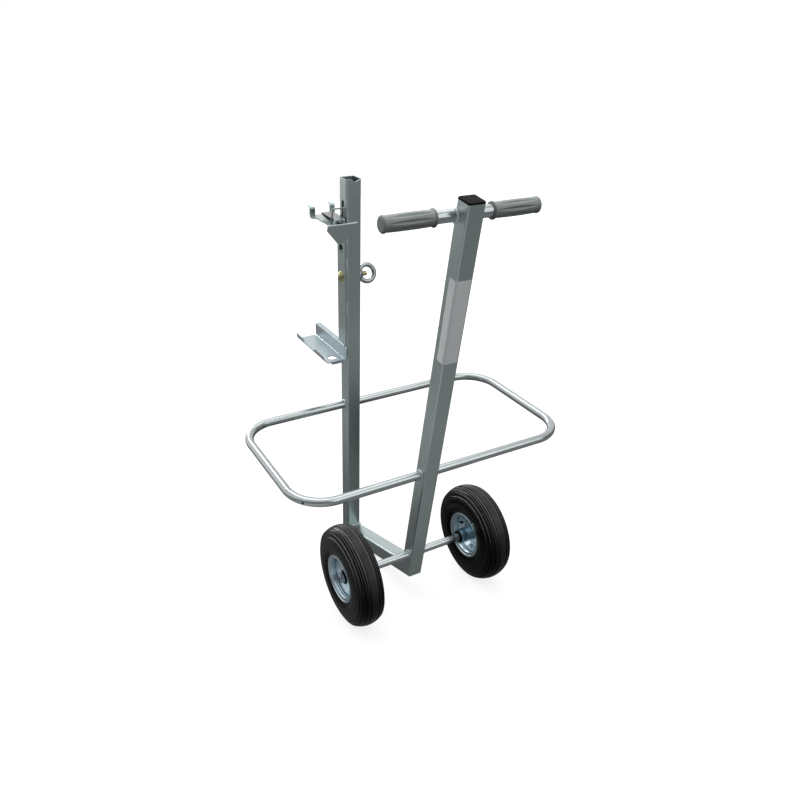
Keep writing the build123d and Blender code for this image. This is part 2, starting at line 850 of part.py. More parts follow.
# Tray: folded sheet with a high wall on the backing plate and a notched low wall
tray_under = tray_floor - tray_sheet
tray_right = plate_outer
wall_top = tray_floor + tray_high_wall
low_top = tray_floor + tray_low_wall
with BuildPart() as tray:
    with BuildSketch(post_level(tray_under)):
        with BuildLine():
            Polyline(
                (-tray_left, -tray_near),
                (-tray_left, tray_far),
                (tray_right, tray_far),
                (tray_right, -tray_near),
                close=True,
            )
        make_face()
        with Locations((-tray_hole_left, tray_hole_ahead)):
            Circle(tray_hole_diameter / 2, mode=Mode.SUBTRACT)
    extrude(amount=tray_sheet)
    with BuildSketch(post_side(tray_right)):
        with BuildLine():
            Polyline(
                (-tray_near, tray_under),
                (-tray_near - tray_high_wall_tail, tray_floor),
                (-tray_near - tray_high_wall_tail, wall_top - tray_high_wall / 3),
                (-tray_near, wall_top),
                (tray_far, wall_top),
                (tray_far, tray_under),
                close=True,
            )
        make_face()
    extrude(amount=-tray_sheet)
    with BuildSketch(post_level(wall_top)):
        with BuildLine():
            flange_left = tray_right - tray_sheet
            flange_right = flange_left + tray_flange_width
            Polyline(
                (flange_left, tray_flange_start),
                (flange_left, tray_far),
                (flange_right, tray_far),
                (flange_right, tray_flange_start),
                close=True,
            )
        make_face()
    extrude(amount=-tray_sheet)
    with BuildSketch(post_side(-tray_left)):
        with BuildLine():
            notch_floor = tray_floor + tray_notch_floor
            Polyline(
                (-tray_near, tray_under),
                (-tray_near, tray_floor),
                (-tray_near + tray_low_wall_chamfer, low_top),
                (tray_notch_start - tray_notch_ramp, low_top),
                (tray_notch_start, notch_floor),
                (tray_notch_end, notch_floor),
                (tray_notch_end + tray_notch_ramp, low_top),
                (tray_far + tray_low_wall_tongue, low_top),
                (tray_far + tray_low_wall_tongue / 2, tray_under),
                close=True,
            )
        make_face()
    extrude(amount=tray_sheet)
    with BuildSketch(post_face(-tray_near)):
        with BuildLine():
            Polyline(
                (-tray_lip_left, tray_floor),
                (-tray_lip_left, tray_under),
                (-tray_lip_left + tray_lip_drop / 2, tray_floor - tray_lip_drop),
                (-tray_lip_right - tray_lip_drop / 2, tray_floor - tray_lip_drop),
                (-tray_lip_right, tray_under),
                (-tray_lip_right, tray_floor),
                close=True,
            )
        make_face()
    extrude(amount=-tray_sheet)
tray.part.label = "tray"
export_step(tray.part, "parts/tray.step")


# Wheels: each is drawn outward from its own middle plane, with its hub offset to the inside
def wheel_middle(side):
    return axle_centre + Vector(side * wheel_offset, 0, 0)


def wheel_plane(side):
    return Plane(origin=wheel_middle(side), x_dir=(side, 0, 0), z_dir=(0, -side, 0))


def wheel_axis():
    return Axis(axle_centre, (1, 0, 0))


def wheel_disc(side, reach):
    origin = wheel_middle(side) + Vector(side * reach, 0, 0)
    return Plane(origin=origin, x_dir=(0, 0, 1), z_dir=(side, 0, 0))


crown_radius = (tyre_crown_half ** 2 + tyre_crown_drop ** 2) / (2 * tyre_crown_drop)
crown_span = crown_radius * math.asin(tyre_crown_half / crown_radius)
rim_flange_radius = bead_seat_radius + rim_flange_height
valve_root_radius = bead_seat_radius + valve_root_rise
bead_radius = bead_seat_radius + bead_gap
bead_outer = rim_flange_reach - rim_sheet - bead_gap
bead_inner = bead_outer - bead_width
bead_top = bead_radius + bead_height
shoulder_radius = wheel_radius - tyre_crown_drop
cavity_top = wheel_radius - tyre_tread_thickness
cavity_belly = tyre_belly_half - tyre_wall
bead_heel = rim_flange_radius + 3.0


def tread_point(distance):
    """Reach and radius at a distance along the tyre's section, from the middle of the crown."""
    if distance < crown_span:
        turn = distance / crown_radius
        return crown_radius * math.sin(turn), wheel_radius - crown_radius * (1 - math.cos(turn))
    flank = ThreePointArc(
        (tyre_crown_half, shoulder_radius),
        (tyre_belly_half, tyre_belly_radius),
        (bead_outer + 3.4, bead_heel),
        mode=Mode.PRIVATE,
    )
    place = flank @ ((distance - crown_span) / flank.length)
    return place.X, place.Y


def make_tyre(side):
    with BuildPart() as tyre:
        with BuildSketch(wheel_plane(side)):
            with BuildLine():
                for hand in (1, -1):
                    ThreePointArc(
                        (hand * tyre_crown_half, shoulder_radius),
                        (hand * tyre_belly_half, tyre_belly_radius),
                        (hand * (bead_outer + 3.4), bead_heel),
                    )
                    Polyline(
                        (hand * (bead_outer + 3.4), bead_heel),
                        (hand * bead_outer, bead_top),
                        (hand * bead_outer, bead_radius),
                        (hand * bead_inner, bead_radius),
                        (hand * bead_inner, bead_radius + bead_height / 2),
                        (hand * (bead_inner + 2.5), bead_top),
                        (hand * (cavity_belly - 1), (bead_top + tyre_belly_radius) / 2 + 2),
                        (hand * cavity_belly, tyre_belly_radius),
                        (hand * (cavity_belly - 8), cavity_top - 7),
                        (0, cavity_top),
                    )
                ThreePointArc(
                    (tyre_crown_half, shoulder_radius),
                    (0, wheel_radius),
                    (-tyre_crown_half, shoulder_radius),
                )
            make_face()
            for step in range(groove_count):
                reach, height = tread_point(groove_first + step * groove_pitch)
                with Locations((reach, height), (-reach, height)):
                    Circle(groove_width / 2, mode=Mode.SUBTRACT)
        revolve(axis=wheel_axis())
    return tyre.part


def valve_cut_plane(side, hand=1):
    turn = math.radians(valve_angle)
    radial = Vector(0, side * -math.sin(turn), math.cos(turn))
    origin = wheel_middle(side) + Vector(side * hand * valve_reach, 0, 0)
    return Plane(origin=origin, x_dir=(1, 0, 0), z_dir=radial)


def make_inner_tube(side):
    with BuildPart() as inner_tube:
        with BuildSketch(wheel_plane(side)):
            for shrink, mode in ((tube_slack, Mode.ADD), (tube_slack + tube_skin, Mode.SUBTRACT)):
                with BuildLine():
                    for hand in (1, -1):
                        Polyline(
                            (0, cavity_top - shrink),
                            (hand * (cavity_belly - 8 - shrink), cavity_top - 7 - shrink),
                            (hand * (cavity_belly - 0.5 - shrink), tyre_belly_radius),
                            (hand * (cavity_belly - 1.5 - shrink), (bead_top + tyre_belly_radius) / 2 + 3),
                            (hand * (bead_inner + 1 - shrink), bead_top + shrink),
                            (hand * (bead_inner - shrink), bead_radius + 2 + shrink),
                            (hand * (rim_flange_reach - bead_seat_inset - shrink), bead_seat_radius + shrink),
                            (0, rim_web_radius + 1 + 1.3 * shrink),
                        )
                make_face(mode=mode)
        revolve(axis=wheel_axis())
        with BuildSketch(valve_cut_plane(side)):
            Circle(valve_diameter / 2 + valve_hole_gap)
        extrude(amount=valve_root_radius + tube_skin, mode=Mode.SUBTRACT)
    return inner_tube.part


def make_rim(side, hand):
    curl_reach = rim_flange_reach + rim_curl
    curl_start = rim_flange_radius - rim_sheet
    seat_end = rim_flange_reach - bead_seat_inset
    roll_start = bead_seat_radius - rim_sheet
    with BuildPart() as rim:
        with BuildSketch(wheel_plane(side)):
            with BuildLine():
                Polyline(
                    (hand * (rim_flange_reach - rim_sheet), curl_start),
                    (hand * (rim_flange_reach - rim_sheet), bead_seat_radius),
                    (hand * seat_end, bead_seat_radius),
                    (0, rim_web_radius),
                    (0, hub_diameter / 2 + weld_gap),
                    (hand * rim_sheet, hub_diameter / 2 + weld_gap),
                    (hand * rim_sheet, rim_web_radius - rim_sheet / 2),
                    (hand * (seat_end + rim_sheet / 3), bead_seat_radius - rim_sheet),
                    (hand * (rim_flange_reach - rim_roll), bead_seat_radius - rim_sheet),
                    (hand * (rim_flange_reach - rim_roll * 0.293), roll_start + rim_roll * 0.293),
                    (hand * rim_flange_reach, roll_start + rim_roll),
                    (hand * rim_flange_reach, curl_start - 0.2),
                    (hand * curl_reach, curl_start + 0.2),
                    (hand * curl_reach, rim_flange_radius),
                    (hand * (rim_flange_reach - rim_sheet / 4), rim_flange_radius),
                    close=True,
                )
            make_face()
        revolve(axis=wheel_axis())
        with BuildSketch(valve_cut_plane(side, hand).offset(hub_diameter / 2 + 1)):
            Circle(valve_diameter / 2 + valve_hole_gap)
        extrude(amount=bead_seat_radius - hub_diameter / 2, mode=Mode.SUBTRACT)
    return rim.part


def make_rim_outer(side):
    return make_rim(side, 1)


def make_rim_inner(side):
    return make_rim(side, -1)


def make_valve_stem(side):
    with BuildPart() as stem:
        with BuildSketch(valve_cut_plane(side).offset(valve_shoulder_radius)):
            Circle(valve_diameter / 2)
        extrude(amount=valve_root_radius - valve_shoulder_radius)
        with BuildSketch(valve_cut_plane(side).offset(valve_tip_radius)):
            Circle(valve_tip_diameter / 2)
        extrude(amount=valve_shoulder_radius - valve_tip_radius)
    return stem.part


def make_valve_cap(side):
    with BuildPart() as cap:
        with BuildSketch(valve_cut_plane(side).offset(valve_cap_radius)):
            Circle(valve_cap_diameter / 2)
        extrude(amount=valve_shoulder_radius - valve_cap_radius)
        with BuildSketch(valve_cut_plane(side).offset(valve_tip_radius - press_gap)):
            Circle(valve_tip_diameter / 2 + press_gap)
        extrude(amount=valve_shoulder_radius, mode=Mode.SUBTRACT)
    return cap.part


def make_hub(side):
    with BuildPart() as hub:
        with BuildSketch(wheel_disc(side, -hub_inner_reach)):
            Circle(hub_diameter / 2)
            Circle(hub_bore / 2, mode=Mode.SUBTRACT)
        extrude(amount=hub_inner_reach + hub_outer_reach)
    return hub.part


def make_bush(side, reach, hand):
    inward = Plane(origin=wheel_disc(side, reach).origin, x_dir=(0, 0, 1), z_dir=(-side * hand, 0, 0))
    with BuildPart() as bush:
        with BuildSketch(inward):
            Circle(hub_bore / 2 - press_gap)
            Circle(axle_diameter / 2 + running_gap, mode=Mode.SUBTRACT)
        extrude(amount=bush_length)
        with BuildSketch(inward):
            Circle(bush_flange_diameter / 2)
            Circle(axle_diameter / 2 + running_gap, mode=Mode.SUBTRACT)
        extrude(amount=-bush_flange_thickness)
    return bush.part


def make_bush_outer(side):
    return make_bush(side, hub_outer_reach, 1)


def make_bush_inner(side):
    return make_bush(side, -hub_inner_reach, -1)


for side, hand in ((-1, "left"), (1, "right")):
    for maker, name in (
        (make_tyre, "tyre"),
        (make_inner_tube, "inner_tube"),
        (make_rim_outer, "rim_outer"),
        (make_rim_inner, "rim_inner"),
        (make_valve_stem, "valve_stem"),
        (make_valve_cap, "valve_cap"),
        (make_hub, "hub"),
        (make_bush_outer, "bush_outer"),
        (make_bush_inner, "bush_inner"),
    ):
        wheel_part = maker(side)
        wheel_part.label = f"{name}_{hand}"
        export_step(wheel_part, f"parts/{name}_{hand}.step")
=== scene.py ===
import json
import math

import bmesh
import bpy
from mathutils import Matrix, Vector


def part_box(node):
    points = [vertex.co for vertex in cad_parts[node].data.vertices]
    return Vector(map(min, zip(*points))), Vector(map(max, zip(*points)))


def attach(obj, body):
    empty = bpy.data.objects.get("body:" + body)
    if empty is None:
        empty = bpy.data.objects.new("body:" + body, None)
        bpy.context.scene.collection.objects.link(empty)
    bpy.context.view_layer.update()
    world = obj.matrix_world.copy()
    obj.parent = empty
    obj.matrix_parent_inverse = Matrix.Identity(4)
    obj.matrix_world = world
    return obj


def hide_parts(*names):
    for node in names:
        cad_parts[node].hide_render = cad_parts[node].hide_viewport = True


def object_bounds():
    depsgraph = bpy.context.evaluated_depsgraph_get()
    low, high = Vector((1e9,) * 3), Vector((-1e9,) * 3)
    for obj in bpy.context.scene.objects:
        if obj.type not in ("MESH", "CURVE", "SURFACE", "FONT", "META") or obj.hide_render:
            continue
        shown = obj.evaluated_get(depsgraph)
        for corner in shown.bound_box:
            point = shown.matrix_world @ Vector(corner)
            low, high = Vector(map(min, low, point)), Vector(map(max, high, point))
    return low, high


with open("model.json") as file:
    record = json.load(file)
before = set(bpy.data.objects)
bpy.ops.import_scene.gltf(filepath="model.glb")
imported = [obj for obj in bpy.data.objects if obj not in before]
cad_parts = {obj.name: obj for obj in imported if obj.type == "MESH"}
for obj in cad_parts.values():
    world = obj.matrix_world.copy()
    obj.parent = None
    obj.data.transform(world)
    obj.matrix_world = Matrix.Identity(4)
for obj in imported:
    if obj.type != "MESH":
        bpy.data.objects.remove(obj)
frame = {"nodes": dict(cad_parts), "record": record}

# Winch transport trolley: looks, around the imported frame. Metres, +Z up, +X the user's right, +Y forward.

cad_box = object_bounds()
nodes = frame["nodes"]
behaviour = frame["record"]["behaviour"]
carrier = {node: body for body, members in behaviour["bodies"].items() for node in members}
scene = bpy.context.scene
mm = 0.001

# Stance, as in the part
post_lean = math.radians(10.0)
handle_lean = math.radians(18.0)
right = Vector((1, 0, 0))
post_ahead = Vector((0, math.cos(post_lean), math.sin(post_lean)))
post_up = Vector((0, -math.sin(post_lean), math.cos(post_lean)))
handle_ahead = Vector((0, math.cos(handle_lean), math.sin(handle_lean)))
handle_up = Vector((0, -math.sin(handle_lean), math.cos(handle_lean)))

# Tubes and their places
tube_half = 20.0 * mm
tube_corner = 5.0 * mm
handle_offset = 4.0 * mm
base_height = 27.5 * mm
mitre_drop = 59.0 * mm
hoop_height = 464.0 * mm
hoop_radius = 10.65 * mm
axle_radius = 10.0 * mm
bar_radius = 12.5 * mm
axle_low, axle_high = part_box("axle")
axle_centre = (axle_low + axle_high) / 2
bar_low, bar_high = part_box("handlebar")
bar_centre = (bar_low + bar_high) / 2


def on_post(x, ahead, height):
    return right * x + post_ahead * ahead + post_up * height


def on_handle(x, ahead, height):
    return axle_centre + right * x + handle_ahead * (handle_offset + ahead) + handle_up * height


# Node helpers, shared by materials, the world and geometry trees
def plug(tree, socket, value):
    if isinstance(value, bpy.types.NodeSocket):
        tree.links.new(value, socket)
    else:
        socket.default_value = value


def plug_all(tree, node, inputs):
    for key, value in inputs.items():
        plug(tree, node.inputs[key], value)


def add_node(tree, kind, inputs=(), **settings):
    node = tree.nodes.new(kind)
    for key, value in settings.items():
        setattr(node, key, value)
    plug_all(tree, node, dict(inputs))
    return node


def sums(tree, operation, *values):
    return add_node(tree, "ShaderNodeMath", enumerate(values), operation=operation).outputs[0]


def parts_of(tree, vector):
    return add_node(tree, "ShaderNodeSeparateXYZ", {0: vector}).outputs


def radius_of(tree, first, second):
    squares = [sums(tree, "MULTIPLY", value, value) for value in (first, second)]
    return sums(tree, "SQRT", sums(tree, "ADD", *squares))


def spread(tree, value, low, high, start=0.0, stop=1.0, smooth=False):
    """Low at start to high at stop, and level outside."""
    kind = "SMOOTHSTEP" if smooth else "LINEAR"
    inputs = {0: value, 1: start, 2: stop, 3: low, 4: high}
    return add_node(tree, "ShaderNodeMapRange", inputs, interpolation_type=kind).outputs[0]


def ramp(tree, value, start, stop):
    """Smooth rise from 0 at start to 1 at stop."""
    return spread(tree, value, 0.0, 1.0, start, stop, True)


def tint(tree, share, first, second):
    inputs = {0: share, 6: first, 7: second}
    return add_node(tree, "ShaderNodeMix", inputs, data_type="RGBA").outputs[2]


def speckle(tree, where, scale, detail, stretch=None):
    if stretch:
        where = add_node(tree, "ShaderNodeMapping", {"Vector": where, "Scale": stretch}).outputs[0]
    inputs = {"Vector": where, "Scale": scale, "Detail": detail}
    return add_node(tree, "ShaderNodeTexNoise", inputs).outputs["Fac"]


def raised(tree, height, distance):
    return add_node(tree, "ShaderNodeBump", {"Height": height, "Distance": distance}).outputs[0]


def opaque(colour):
    return (*colour, 1.0)


def cleared_tree(owner):
    owner.use_nodes = True
    owner.node_tree.nodes.clear()
    return owner.node_tree


def blank_finish(name):
    material = bpy.data.materials.new(name)
    tree = cleared_tree(material)
    shader = add_node(tree, "ShaderNodeBsdfPrincipled")
    add_node(tree, "ShaderNodeOutputMaterial", {0: shader.outputs[0]})
    where = add_node(tree, "ShaderNodeTexCoord").outputs["Object"]
    return material, tree, shader, where


# Finishes
def zinc_finish(name, pale, dull, roughness, crystal, grain, streak=0.0):
    """Zinc on steel: crystals about 5 mm across, cloudy stains, fine grain and faint drawn streaks."""
    cloud_weight, stain_weight, cloud_relief = 0.55, 0.25, 2.0
    dark_tone, pale_tone = 0.2, 0.75 + crystal + streak / 2
    rougher, smoother = roughness + 0.1, roughness - 0.06
    material, tree, shader, where = blank_finish(name)
    cells = add_node(tree, "ShaderNodeTexVoronoi", {"Vector": where, "Scale": 190.0})
    flake = add_node(tree, "ShaderNodeSeparateColor", {0: cells.outputs["Color"]}).outputs[0]
    cloud = speckle(tree, where, scale=17.0, detail=5.0)
    stain = ramp(tree, speckle(tree, where, scale=5.0, detail=2.0), start=0.35, stop=0.7)
    drawn = speckle(tree, where, scale=260.0, detail=2.0, stretch=(1.0, 0.35, 0.03))
    fine = speckle(tree, where, scale=850.0, detail=2.0)
    tone = sums(tree, "MULTIPLY", flake, crystal)
    for pattern, weight in ((cloud, cloud_weight), (stain, stain_weight), (drawn, streak)):
        tone = sums(tree, "MULTIPLY_ADD", pattern, weight, tone)
    share = spread(tree, tone, 0.0, 1.0, dark_tone, pale_tone)
    height = sums(tree, "MULTIPLY_ADD", cloud, cloud_relief, fine)
    plug_all(tree, shader, {
        "Base Color": tint(tree, share, opaque(dull), opaque(pale)),
        "Metallic": 1.0,
        "Roughness": spread(tree, tone, rougher, smoother, dark_tone, 1.0),
        "Normal": raised(tree, height, grain),
    })
    return material


def painted_light_steel_finish(name, dull, edge_highlight_colour, painted_shade_colour, upward, roughness):
    """Bare steel: dull on the flat that looks up, with a painted highlight on its edges and painted shade on
    its sides and underside.
    """
    level_from, level_to = 0.94, 0.99
    beside_from, beside_to = 0.85, 0.96
    inside_from, inside_to = -0.8, -0.4
    dull_rougher = 0.15
    material, tree, shader, where = blank_finish(name)
    looks = add_node(tree, "ShaderNodeTexCoord").outputs["Normal"]
    inputs = {0: looks, 1: upward}
    flat = add_node(tree, "ShaderNodeVectorMath", inputs, operation="DOT_PRODUCT").outputs["Value"]
    cloud = speckle(tree, where, scale=120.0, detail=4.0)
    cloud = spread(tree, cloud, low=0.75, high=1.0, start=0.3, stop=0.7)
    # Painted highlight: faces that do not look up take the pale edge colour
    share = sums(tree, "MULTIPLY", ramp(tree, flat, level_from, level_to), cloud)
    top = tint(tree, share, opaque(edge_highlight_colour), opaque(dull))
    # Painted shade: the sides along X and the underside turn dark
    sideways = sums(tree, "ABSOLUTE", parts_of(tree, looks)["X"])
    beside = ramp(tree, sideways, beside_from, beside_to)
    inside = spread(tree, flat, low=1.0, high=0.0, start=inside_from, stop=inside_to, smooth=True)
    painted_shade_share = sums(tree, "MAXIMUM", beside, inside)
    plug_all(tree, shader, {
        "Base Color": tint(tree, painted_shade_share, top, opaque(painted_shade_colour)),
        "Metallic": 1.0,
        "Roughness": spread(tree, share, roughness, roughness + dull_rougher),
    })
    return material


def add_skin(tree, shader, where, scale, grain, gloss):
    """Fine moulded texture and gloss."""
    texture = speckle(tree, where, scale, detail=2.0)
    plug_all(tree, shader, {"Normal": raised(tree, texture, grain), "Specular IOR Level": gloss})


def rubber_finish(name, dark, dusty, roughness, scale, grain, gloss):
    """Moulded rubber: dusty patches on a dark body and a fine pebbled skin."""
    dust_weight, scuff_weight, scuff_finer = 0.7, 0.6, 6
    smoother, rougher = roughness - 0.06, roughness + 0.14
    material, tree, shader, where = blank_finish(name)
    dust = ramp(tree, speckle(tree, where, scale, detail=6.0), start=0.4, stop=0.75)
    pale_marks = speckle(tree, where, scale * scuff_finer, detail=3.0)
    pale_marks = spread(tree, pale_marks, low=0.0, high=0.5, start=0.5, stop=0.8)
    share = sums(tree, "MULTIPLY_ADD", pale_marks, scuff_weight, sums(tree, "MULTIPLY", dust, dust_weight))
    plug_all(tree, shader, {
        "Base Color": tint(tree, share, opaque(dark), opaque(dusty)),
        "Roughness": spread(tree, share, smoother, rougher),
    })
    add_skin(tree, shader, where, scale=1200.0, grain=grain, gloss=gloss)
    return material


def tyre_finish(name, wall, tread, pale_marks, roughness, grain, gloss):
    """Tyre rubber: black walls and a paler rubbed tread, with painted highlights on the rib edges; tread and
    highlights are painted paler high on the wheel and darker low down.
    """
    rib_edges = (126.4, 124.6, 121.4, 117.3, 111.6, 107.4, 102.4)
    rib_highlight_half, rib_highlight_falloff = 0.45 * mm, 3.0
    rubbed_from, rubbed_to = 126.2 * mm, 129.7 * mm
    # Heights over which the painted light rises, and the share of the tread's paleness kept low on the wheel
    # as painted shade
    painted_light_from, painted_light_to = 60.0 * mm, 220.0 * mm
    shaded_low_share = 0.25
    rubbed_rougher = 0.08
    material, tree, shader, where = blank_finish(name)
    apart = parts_of(tree, where)
    ahead = sums(tree, "SUBTRACT", apart["Y"], axle_centre.y)
    above = sums(tree, "SUBTRACT", apart["Z"], axle_centre.z)
    radius = radius_of(tree, ahead, above)
    # Painted light: the rubbed tread and the rib edges turn paler high on the wheel and darker low down
    lit_from_above = ramp(tree, apart["Z"], painted_light_from, painted_light_to)
    dust = speckle(tree, where, scale=16.0, detail=6.0)
    dust = spread(tree, dust, low=0.6, high=1.0, start=0.35, stop=0.7, smooth=True)
    rubbed = sums(tree, "MULTIPLY", ramp(tree, radius, rubbed_from, rubbed_to), dust)
    share = sums(tree, "MULTIPLY", rubbed, sums(tree, "MULTIPLY_ADD", lit_from_above, 1.0 - shaded_low_share, shaded_low_share))
    # Painted highlights: thin pale lines along the rib edges, strongest high on the wheel
    rib_highlight_share = 0.0
    for edge in rib_edges:
        rib_highlight_share = sums(tree, "ADD", sums(tree, "COMPARE", radius, edge * mm, rib_highlight_half), rib_highlight_share)
    rib_highlight_share = sums(tree, "MULTIPLY", rib_highlight_share, sums(tree, "POWER", lit_from_above, rib_highlight_falloff))
    rubber = tint(tree, share, opaque(wall), opaque(tread))
    plug_all(tree, shader, {
        "Base Color": tint(tree, rib_highlight_share, rubber, opaque(pale_marks)),
        "Roughness": spread(tree, share, roughness, roughness + rubbed_rougher),
    })
    add_skin(tree, shader, where, scale=1200.0, grain=grain, gloss=gloss)
    return material


def plastic_finish(name, colour, worn, roughness, grain, gloss):
    """Moulded plastic or film: spark-eroded texture with slightly worn patches."""
    worn_rougher = 0.12
    material, tree, shader, where = blank_finish(name)
    wear = speckle(tree, where, scale=60.0, detail=4.0)
    wear = spread(tree, wear, low=0.0, high=1.0, start=0.45, stop=0.8)
    plug_all(tree, shader, {
        "Base Color": tint(tree, wear, opaque(colour), opaque(worn)),
        "Roughness": spread(tree, wear, roughness, roughness + worn_rougher),
    })
    add_skin(tree, shader, where, scale=1500.0, grain=grain, gloss=gloss)
    return material


galvanised = zinc_finish(
    "galvanised_tube", pale=(0.52, 0.61, 0.605), dull=(0.425, 0.498, 0.493),
    roughness=0.30, crystal=0.25, grain=0.03 * mm, streak=0.3)
light_zinc = zinc_finish(
    "light_zinc", pale=(0.53, 0.57, 0.575), dull=(0.44, 0.48, 0.485),
    roughness=0.20, crystal=0.15, grain=0.02 * mm, streak=0.2)
tray_zinc = zinc_finish(
    "tray_zinc", pale=(0.54, 0.62, 0.65), dull=(0.45, 0.52, 0.55),
    roughness=0.30, crystal=0.3, grain=0.03 * mm, streak=0.25)
eye_zinc = zinc_finish(
    "eye_zinc", pale=(0.45, 0.48, 0.48), dull=(0.34, 0.365, 0.365),
    roughness=0.08, crystal=0.1, grain=0.01 * mm)
bright_zinc = zinc_finish(
    "bright_zinc", pale=(0.55, 0.66, 0.71), dull=(0.44, 0.55, 0.61),
    roughness=0.22, crystal=0.08, grain=0.004 * mm)
rim_zinc = zinc_finish(
    "rim_zinc", pale=(0.52, 0.64, 0.70), dull=(0.47, 0.59, 0.65),
    roughness=0.13, crystal=0.0, grain=0.0)
yellow_zinc = zinc_finish(
    "yellow_zinc", pale=(0.47, 0.44, 0.21), dull=(0.33, 0.32, 0.16),
    roughness=0.17, crystal=0.1, grain=0.01 * mm)
bail_steel = zinc_finish(
    "bail_steel", pale=(0.36, 0.39, 0.40), dull=(0.27, 0.30, 0.31),
    roughness=0.22, crystal=0.08, grain=0.004 * mm)
# Latch lever: a pale painted highlight on its edges and near-black painted shade on its sides and underside
lever_steel = painted_light_steel_finish(
    "lever_steel", dull=(0.24, 0.235, 0.23), edge_highlight_colour=(0.72, 0.78, 0.80), painted_shade_colour=(0.03, 0.03, 0.03),
    upward=post_up, roughness=0.22)
black_steel = zinc_finish(
    "black_steel", pale=(0.10, 0.10, 0.105), dull=(0.045, 0.045, 0.05),
    roughness=0.34, crystal=0.2, grain=0.01 * mm)
weld_metal = zinc_finish(
    "weld_metal", pale=(0.82, 0.85, 0.85), dull=(0.56, 0.59, 0.59),
    roughness=0.38, crystal=0.3, grain=0.06 * mm)
# Tyre: the pale grey colour is painted highlights on the rib edges, and the tread is painted paler high on
# the wheel and darker low down
tyre_rubber = tyre_finish(
    "tyre_rubber", wall=(0.0012, 0.0012, 0.0012), tread=(0.046, 0.048, 0.048), pale_marks=(0.13, 0.13, 0.13),
    roughness=0.16, grain=0.01 * mm, gloss=0.10)
tube_rubber = rubber_finish(
    "tube_rubber", dark=(0.008, 0.008, 0.008), dusty=(0.02, 0.02, 0.02),
    roughness=0.4, scale=25.0, grain=0.01 * mm, gloss=0.4)
grip_rubber = rubber_finish(
    "grip_rubber", dark=(0.235, 0.26, 0.26), dusty=(0.31, 0.335, 0.335),
    roughness=0.42, scale=30.0, grain=0.03 * mm, gloss=0.35)
black_plastic = plastic_finish(
    "black_plastic", colour=(0.006, 0.006, 0.006), worn=(0.012, 0.012, 0.012),
    roughness=0.48, grain=0.02 * mm, gloss=0.03)
panel_film = plastic_finish(
    "panel_film", colour=(0.90, 0.945, 0.95), worn=(0.84, 0.885, 0.89),
    roughness=0.30, grain=0.005 * mm, gloss=0.5)

# Mesh helpers
merge_gap = 0.004 * mm
turned_gap = 0.01 * mm
flat_angle = math.radians(0.5)
corner_angle = math.radians(40.0)
corner_length = 3.0 * mm


def placed(name, data):
    thing = bpy.data.objects.new(name, data)
    scene.collection.objects.link(thing)
    return thing


def mesh_from(name, shell):
    mesh = bpy.data.meshes.new(name)
    shell.to_mesh(mesh)
    shell.free()
    return mesh


def shell_from(mesh):
    shell = bmesh.new()
    shell.from_mesh(mesh)
    return shell


def evaluated_mesh(holder):
    """What a holder's modifiers make of its data, as a plain mesh."""
    bpy.context.view_layer.update()
    evaluated = holder.evaluated_get(bpy.context.evaluated_depsgraph_get())
    return bpy.data.meshes.new_from_object(evaluated)


def finished(name, shell, body, material, sharp=35.0):
    """Object from a bmesh: smooth but for edges sharper than the angle, riding on its body."""
    mesh = mesh_from(name, shell)
    mesh.materials.append(material)
    mesh.shade_smooth()
    mesh.set_sharp_from_angle(angle=math.radians(sharp))
    piece = placed(name, mesh)
    even = piece.modifiers.new("even_faces", "WEIGHTED_NORMAL")
    even.keep_sharp = True
    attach(piece, body)
    return piece


def merged_copy(node):
    """A CAD node's triangles as one clean shell of flat faces."""
    source = nodes[node].data
    shell = bmesh.new()
    points = [shell.verts.new(vertex.co) for vertex in source.vertices]
    for face in source.polygons:
        shell.faces.new([points[index] for index in face.vertices])
    bmesh.ops.remove_doubles(shell, verts=shell.verts, dist=merge_gap)
    bmesh.ops.dissolve_limit(shell, angle_limit=flat_angle, verts=shell.verts, edges=shell.edges)
    return shell


def is_long_corner(edge):
    return edge.calc_face_angle(0.0) > corner_angle and edge.calc_length() > corner_length


def ease_edges(shell, width, steps, chosen):
    edges = [edge for edge in shell.edges if edge.is_manifold and chosen(edge)]
    if edges:
        bmesh.ops.bevel(
            shell, geom=edges, offset=width, offset_type="OFFSET", segments=steps,
            profile=0.5, affect="EDGES", clamp_overlap=True)


def dress(node, material, ease=0.0):
    """Finished copy of a CAD node, with its long edges eased, standing for the node."""
    shell = merged_copy(node)
    if ease:
        ease_edges(shell, ease, steps=2, chosen=is_long_corner)
    piece = finished(f"{node}_finish", shell, carrier[node], material)
    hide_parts(node)


def turned(profile, centre, side, count):
    """Closed ring turned about a line along X from (reach, radius) points, reach outward positive."""
    shell = bmesh.new()
    rings = []
    for step in range(count):
        angle = 2 * math.pi * step / count
        spoke = Vector((0, math.sin(angle), math.cos(angle)))
        places = [centre + right * side * reach + spoke * radius for reach, radius in profile]
        rings.append([shell.verts.new(place) for place in places])
    size = len(profile)
    for step in range(count):
        here, after = rings[step], rings[(step + 1) % count]
        for index in range(size):
            other = (index + 1) % size
            shell.faces.new((here[index], here[other], after[other], after[index]))
    bmesh.ops.remove_doubles(shell, verts=shell.verts, dist=turned_gap)
    bmesh.ops.recalc_face_normals(shell, faces=shell.faces)
    return shell


